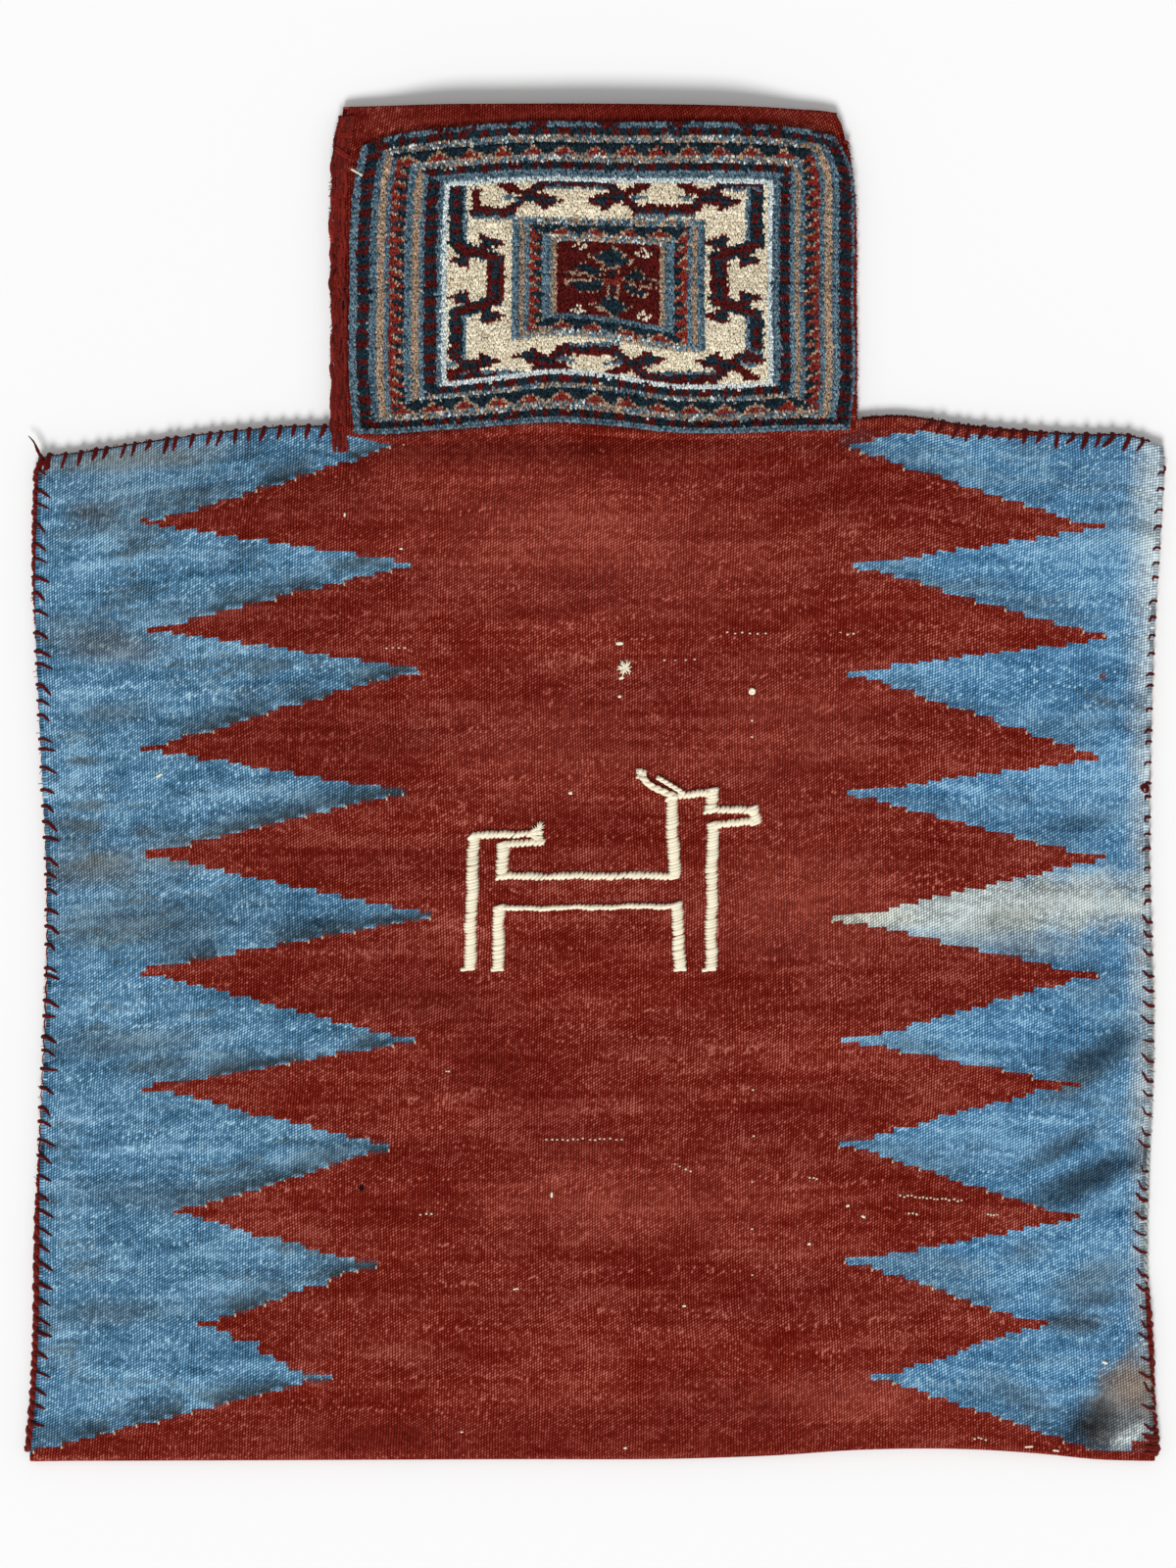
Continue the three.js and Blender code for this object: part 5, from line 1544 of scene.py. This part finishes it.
def add_pile():
    columns = band_width(LEFT_BANDS, RIGHT_BANDS, FRAME_SIDE_BANDS, FRAME_SIDE_BANDS)
    columns += IVORY_LEFT + CENTRE_COLUMNS + IVORY_RIGHT
    rows = band_width(TOP_BANDS, FOOT_BANDS, FRAME_TOP_BANDS, FRAME_FOOT_BANDS)
    rows += IVORY_TOP + CENTRE_ROWS + IVORY_FOOT
    x, y = lattice(columns, rows)
    tone = np.repeat(knot_tones(columns, rows, x, y).ravel(), TUFTS)
    fade = CHANCE.normal(FADE, KNOT_FADE, (rows, columns)) + CHANCE.normal(0, ROW_FADE, (rows, 1))
    fade = fade + CHANCE.normal(0, COLUMN_FADE, columns)
    fade = np.repeat(fade.ravel(), TUFTS) + CHANCE.normal(0, TUFT_FADE, len(tone))
    half_x = np.repeat(np.gradient(x, axis=1).ravel(), TUFTS) / 2
    half_y = np.repeat(-np.gradient(y, axis=0).ravel(), TUFTS) / 2
    x = np.repeat(x.ravel(), TUFTS)
    y = np.repeat(y.ravel(), TUFTS)
    count = len(x)
    x = x + half_x * np.tile(np.linspace(-0.5, 0.5, TUFTS), count // TUFTS)
    half_x = half_x / TUFTS
    base = neck_top(x, y)
    rim = np.clip(seam_distance(x, y) / RIM_EASE, RIM_LEAST, 1)
    tall = PILE_HEIGHT * rim * CHANCE.normal(1, 0.07, count)
    lean = CHANCE.normal(0, 0.3, (2, count))
    corners = [(-1, -1), (1, -1), (1, 1), (-1, 1)]
    points = np.zeros((count, 8, 3))
    for ring, spread in enumerate(TUFT_SPREADS):
        for number, (right, up) in enumerate(corners):
            place = points[:, 4 * ring + number]
            place[:, 0] = x + right * half_x * spread + ring * lean[0]
            place[:, 1] = y + up * half_y * spread + ring * (lean[1] - COMB)
            place[:, 2] = base + (tall if ring else -ROOT_DEPTH) + ring * CHANCE.normal(0, 0.12, count)
    shade = np.repeat(CHANCE.normal(1, 0.14, count)[:, None], 8, axis=1)
    # Painted shade at the roots of the tufts, where they stand close among each other
    shade[:, :4] *= ROOT_SHADE
    fade = np.repeat(np.clip(fade, 0, 1)[:, None], 8, axis=1)
    tuft = np.array([(4, 5, 6, 7), (0, 1, 5, 4), (1, 2, 6, 5), (2, 3, 7, 6), (3, 0, 4, 7)])
    faces = 8 * np.arange(count)[:, None, None] + tuft
    values = {"shade": shade.ravel(), "fade": fade.ravel()}
    for name, number in TONE.items():
        chosen = faces[tone == number].reshape(-1, 4)
        mesh = quad_mesh(f"pile_{name}", points.reshape(-1, 3), chosen, values=values)
        full, pale = PILE_TONES[name]
        material = fuzzy(f"pile_{name}_wool", full, spread=0.2, grain=1.8, depth=0.2, sheen=0.1, pale=pale)
        new_object(f"pile_{name}_knots", mesh, material, PILE_NODES[name])


add_pile()

# Wear on the front: warps that show at the slits, and flecks of pale yarn as (x, y, heading, length, radius)
WARP_YARN = fuzzy("warp_yarn", rgb(206, 186, 150), spread=0.25, grain=2.2, depth=0.2)
WARP_REACH = 0.9
WARP_RADIUS = 0.33
FLECKS = [
    (11.5, 70.5, 0, 3.4, 0.85), (12.4, 53.4, 15, 2.4, 0.75), (11.5, 44.2, 0, 1.5, 0.7),
    (-12.9, -3.7, 0, 1.8, 0.8), (124.7, -208.6, 20, 1.8, 0.6), (132.5, -214, -30, 2, 0.6),
    (105.7, -227.7, 10, 1.6, 0.6), (-22.2, -203.3, 85, 2.6, 0.6), (253, -287.2, -25, 2.6, 0.7),
    (215.5, -329.4, 5, 4, 0.5), (229, -331.4, -8, 3, 0.5), (-125, 134.4, 80, 1.8, 0.5),
    (43.6, -258.3, 0, 1.8, 0.5), (-40, -250, 10, 2.6, 0.4), (-97, 117.6, 0, 1.6, 0.45),
    (-217, 5, 30, 3.4, 0.55), (14.4, -330, 0, 1.6, 0.5), (-67, -321.8, 0, 1.4, 0.4),
]
# Rows of pale beads: start, end and count
BEAD_LINES = [
    ((150.6, -203.3), (181, -206), 17), ((155, -212.5), (159, -212.3), 3),
    ((194, -213), (199, -213.3), 4), ((105.7, -194.6), (109.5, -195), 3),
    ((188.6, -325), (193.5, -325.4), 4), ((65, 76), (84, 75.4), 6), ((-24.8, -175.8), (12.4, -175.4), 15),
    ((-74.7, -141.8), (-72.5, -141.8), 2), ((121.6, 75.6), (127.6, 75.6), 3),
    ((39, -188), (47, -191.6), 4), ((77.7, -150.8), (77.7, -243), 5), ((77.2, 32.4), (77.2, 24.5), 2),
    ((-104, 68.3), (-95, 68.5), 4), ((-87.6, -212.8), (-81.7, -212.8), 3), ((34, 62.3), (49, 62.3), 4),
]


PALE_BEAD_HALF = 0.5
PALE_BEAD_RADIUS = 0.42

# The frayed tuft, pale knots as place, size and radius, and a strand on the pile
PALE_TUFT = (14.4, 58.3, 60, 110, 4.2, 30, 0.32)
PALE_KNOTS = [(14.4, 58.3, 0.8, 0.6), (77.3, 46.6, 1.0, 0.75)]
PALE_KNOT_LIFT = 0.8
PILE_STRAND = [(-121.9, 306.5), (-119, 304.8), (-116.3, 303.2)]


def add_wear():
    warps = Yarns()
    for x, y, corner in warp_places:
        reach = WARP_REACH if corner else WARP_REACH / 2
        path = [on_face(x, y + rise, 0.15) for rise in np.linspace(-reach, reach, 3)]
        warps.add(path, WARP_RADIUS * (1.2 if corner else 0.8), CHANCE.normal(1, 0.1), sides=5)
    warps.piece("warp_ends", WARP_YARN, "white_yarn")
    flecks = Yarns()
    frayed_end(flecks, *PALE_TUFT)
    for x, y, size, radius in PALE_KNOTS:
        knot(flecks, *on_face(x, y, PALE_KNOT_LIFT), size, radius, 3)
    for x, y, heading, length, radius in FLECKS:
        turn = math.radians(heading)
        middle = np.array([x, y])
        shift = np.array([math.cos(turn), math.sin(turn)]) * length / 2
        loose_strand(flecks, [middle - shift, middle, middle + shift], radius, 6, 0.2)
    for start, end, count in BEAD_LINES:
        for x, y in np.linspace(start, end, count) + CHANCE.normal(0, 0.25, (count, 2)):
            points = [(x + shift, y) for shift in (-PALE_BEAD_HALF, 0, PALE_BEAD_HALF)]
            loose_strand(flecks, points, PALE_BEAD_RADIUS * CHANCE.normal(1, 0.2), 4, 0.1, 0.85)
    loose_strand(flecks, PILE_STRAND, 0.6, 8, PILE_HEIGHT + 0.2, 0.8)
    flecks.piece("pale_flecks", WHITE_YARN, "white_yarn")


add_wear()


# Floor, light and camera
CAMERA_LENS = 85
SENSOR = 36
PHOTO_HEIGHT = 1600
PIXEL = 0.488
VIEW_CENTRE = (-4.15, 0.73)
VIEW_PLANE = 9
FLOOR_SIZE = 24000
FLOOR_COLOUR = (0.97, 0.97, 0.97, 1)
KEY_SHARE = 0.55
KEY_ELEVATION = 46
KEY_AZIMUTH = -8
KEY_SOFTNESS = 22


def add_stage():
    mesh = bpy.data.meshes.new("floor")
    half = FLOOR_SIZE / 2 * MM
    corners = [(-half, -half, 0), (half, -half, 0), (half, half, 0), (-half, half, 0)]
    mesh.from_pydata(corners, [], [(0, 1, 2, 3)])
    floor = bpy.data.objects.new("floor", mesh)
    bpy.context.scene.collection.objects.link(floor)
    material = bpy.data.materials.new("floor_paper")
    material.use_nodes = True
    shader = material.node_tree.nodes["Principled BSDF"]
    shader.inputs["Base Color"].default_value = FLOOR_COLOUR
    shader.inputs["Roughness"].default_value = 1.0
    shader.inputs["Specular IOR Level"].default_value = 0.0
    mesh.materials.append(material)


def add_light():
    world = bpy.data.worlds.new("studio")
    world.use_nodes = True
    background = world.node_tree.nodes["Background"]
    background.inputs["Color"].default_value = (1, 1, 1, 1)
    background.inputs["Strength"].default_value = 1 - KEY_SHARE
    bpy.context.scene.world = world
    lamp = bpy.data.lights.new("key", "SUN")
    lamp.energy = KEY_SHARE * math.pi / math.sin(math.radians(KEY_ELEVATION))
    lamp.angle = math.radians(KEY_SOFTNESS)
    key = bpy.data.objects.new("key", lamp)
    key.rotation_euler = (math.radians(90 - KEY_ELEVATION), 0, math.radians(KEY_AZIMUTH))
    bpy.context.scene.collection.objects.link(key)


def add_camera():
    data = bpy.data.cameras.new("camera")
    data.sensor_fit = "VERTICAL"
    data.sensor_height = SENSOR
    data.lens = CAMERA_LENS
    camera = bpy.data.objects.new("camera", data)
    distance = PHOTO_HEIGHT * PIXEL * CAMERA_LENS / SENSOR
    camera.location = (VIEW_CENTRE[0] * MM, VIEW_CENTRE[1] * MM, (VIEW_PLANE + distance) * MM)
    bpy.context.scene.collection.objects.link(camera)
    bpy.context.scene.camera = camera


add_stage()
add_light()
add_camera()
bpy.context.scene.view_settings.view_transform = "Standard"
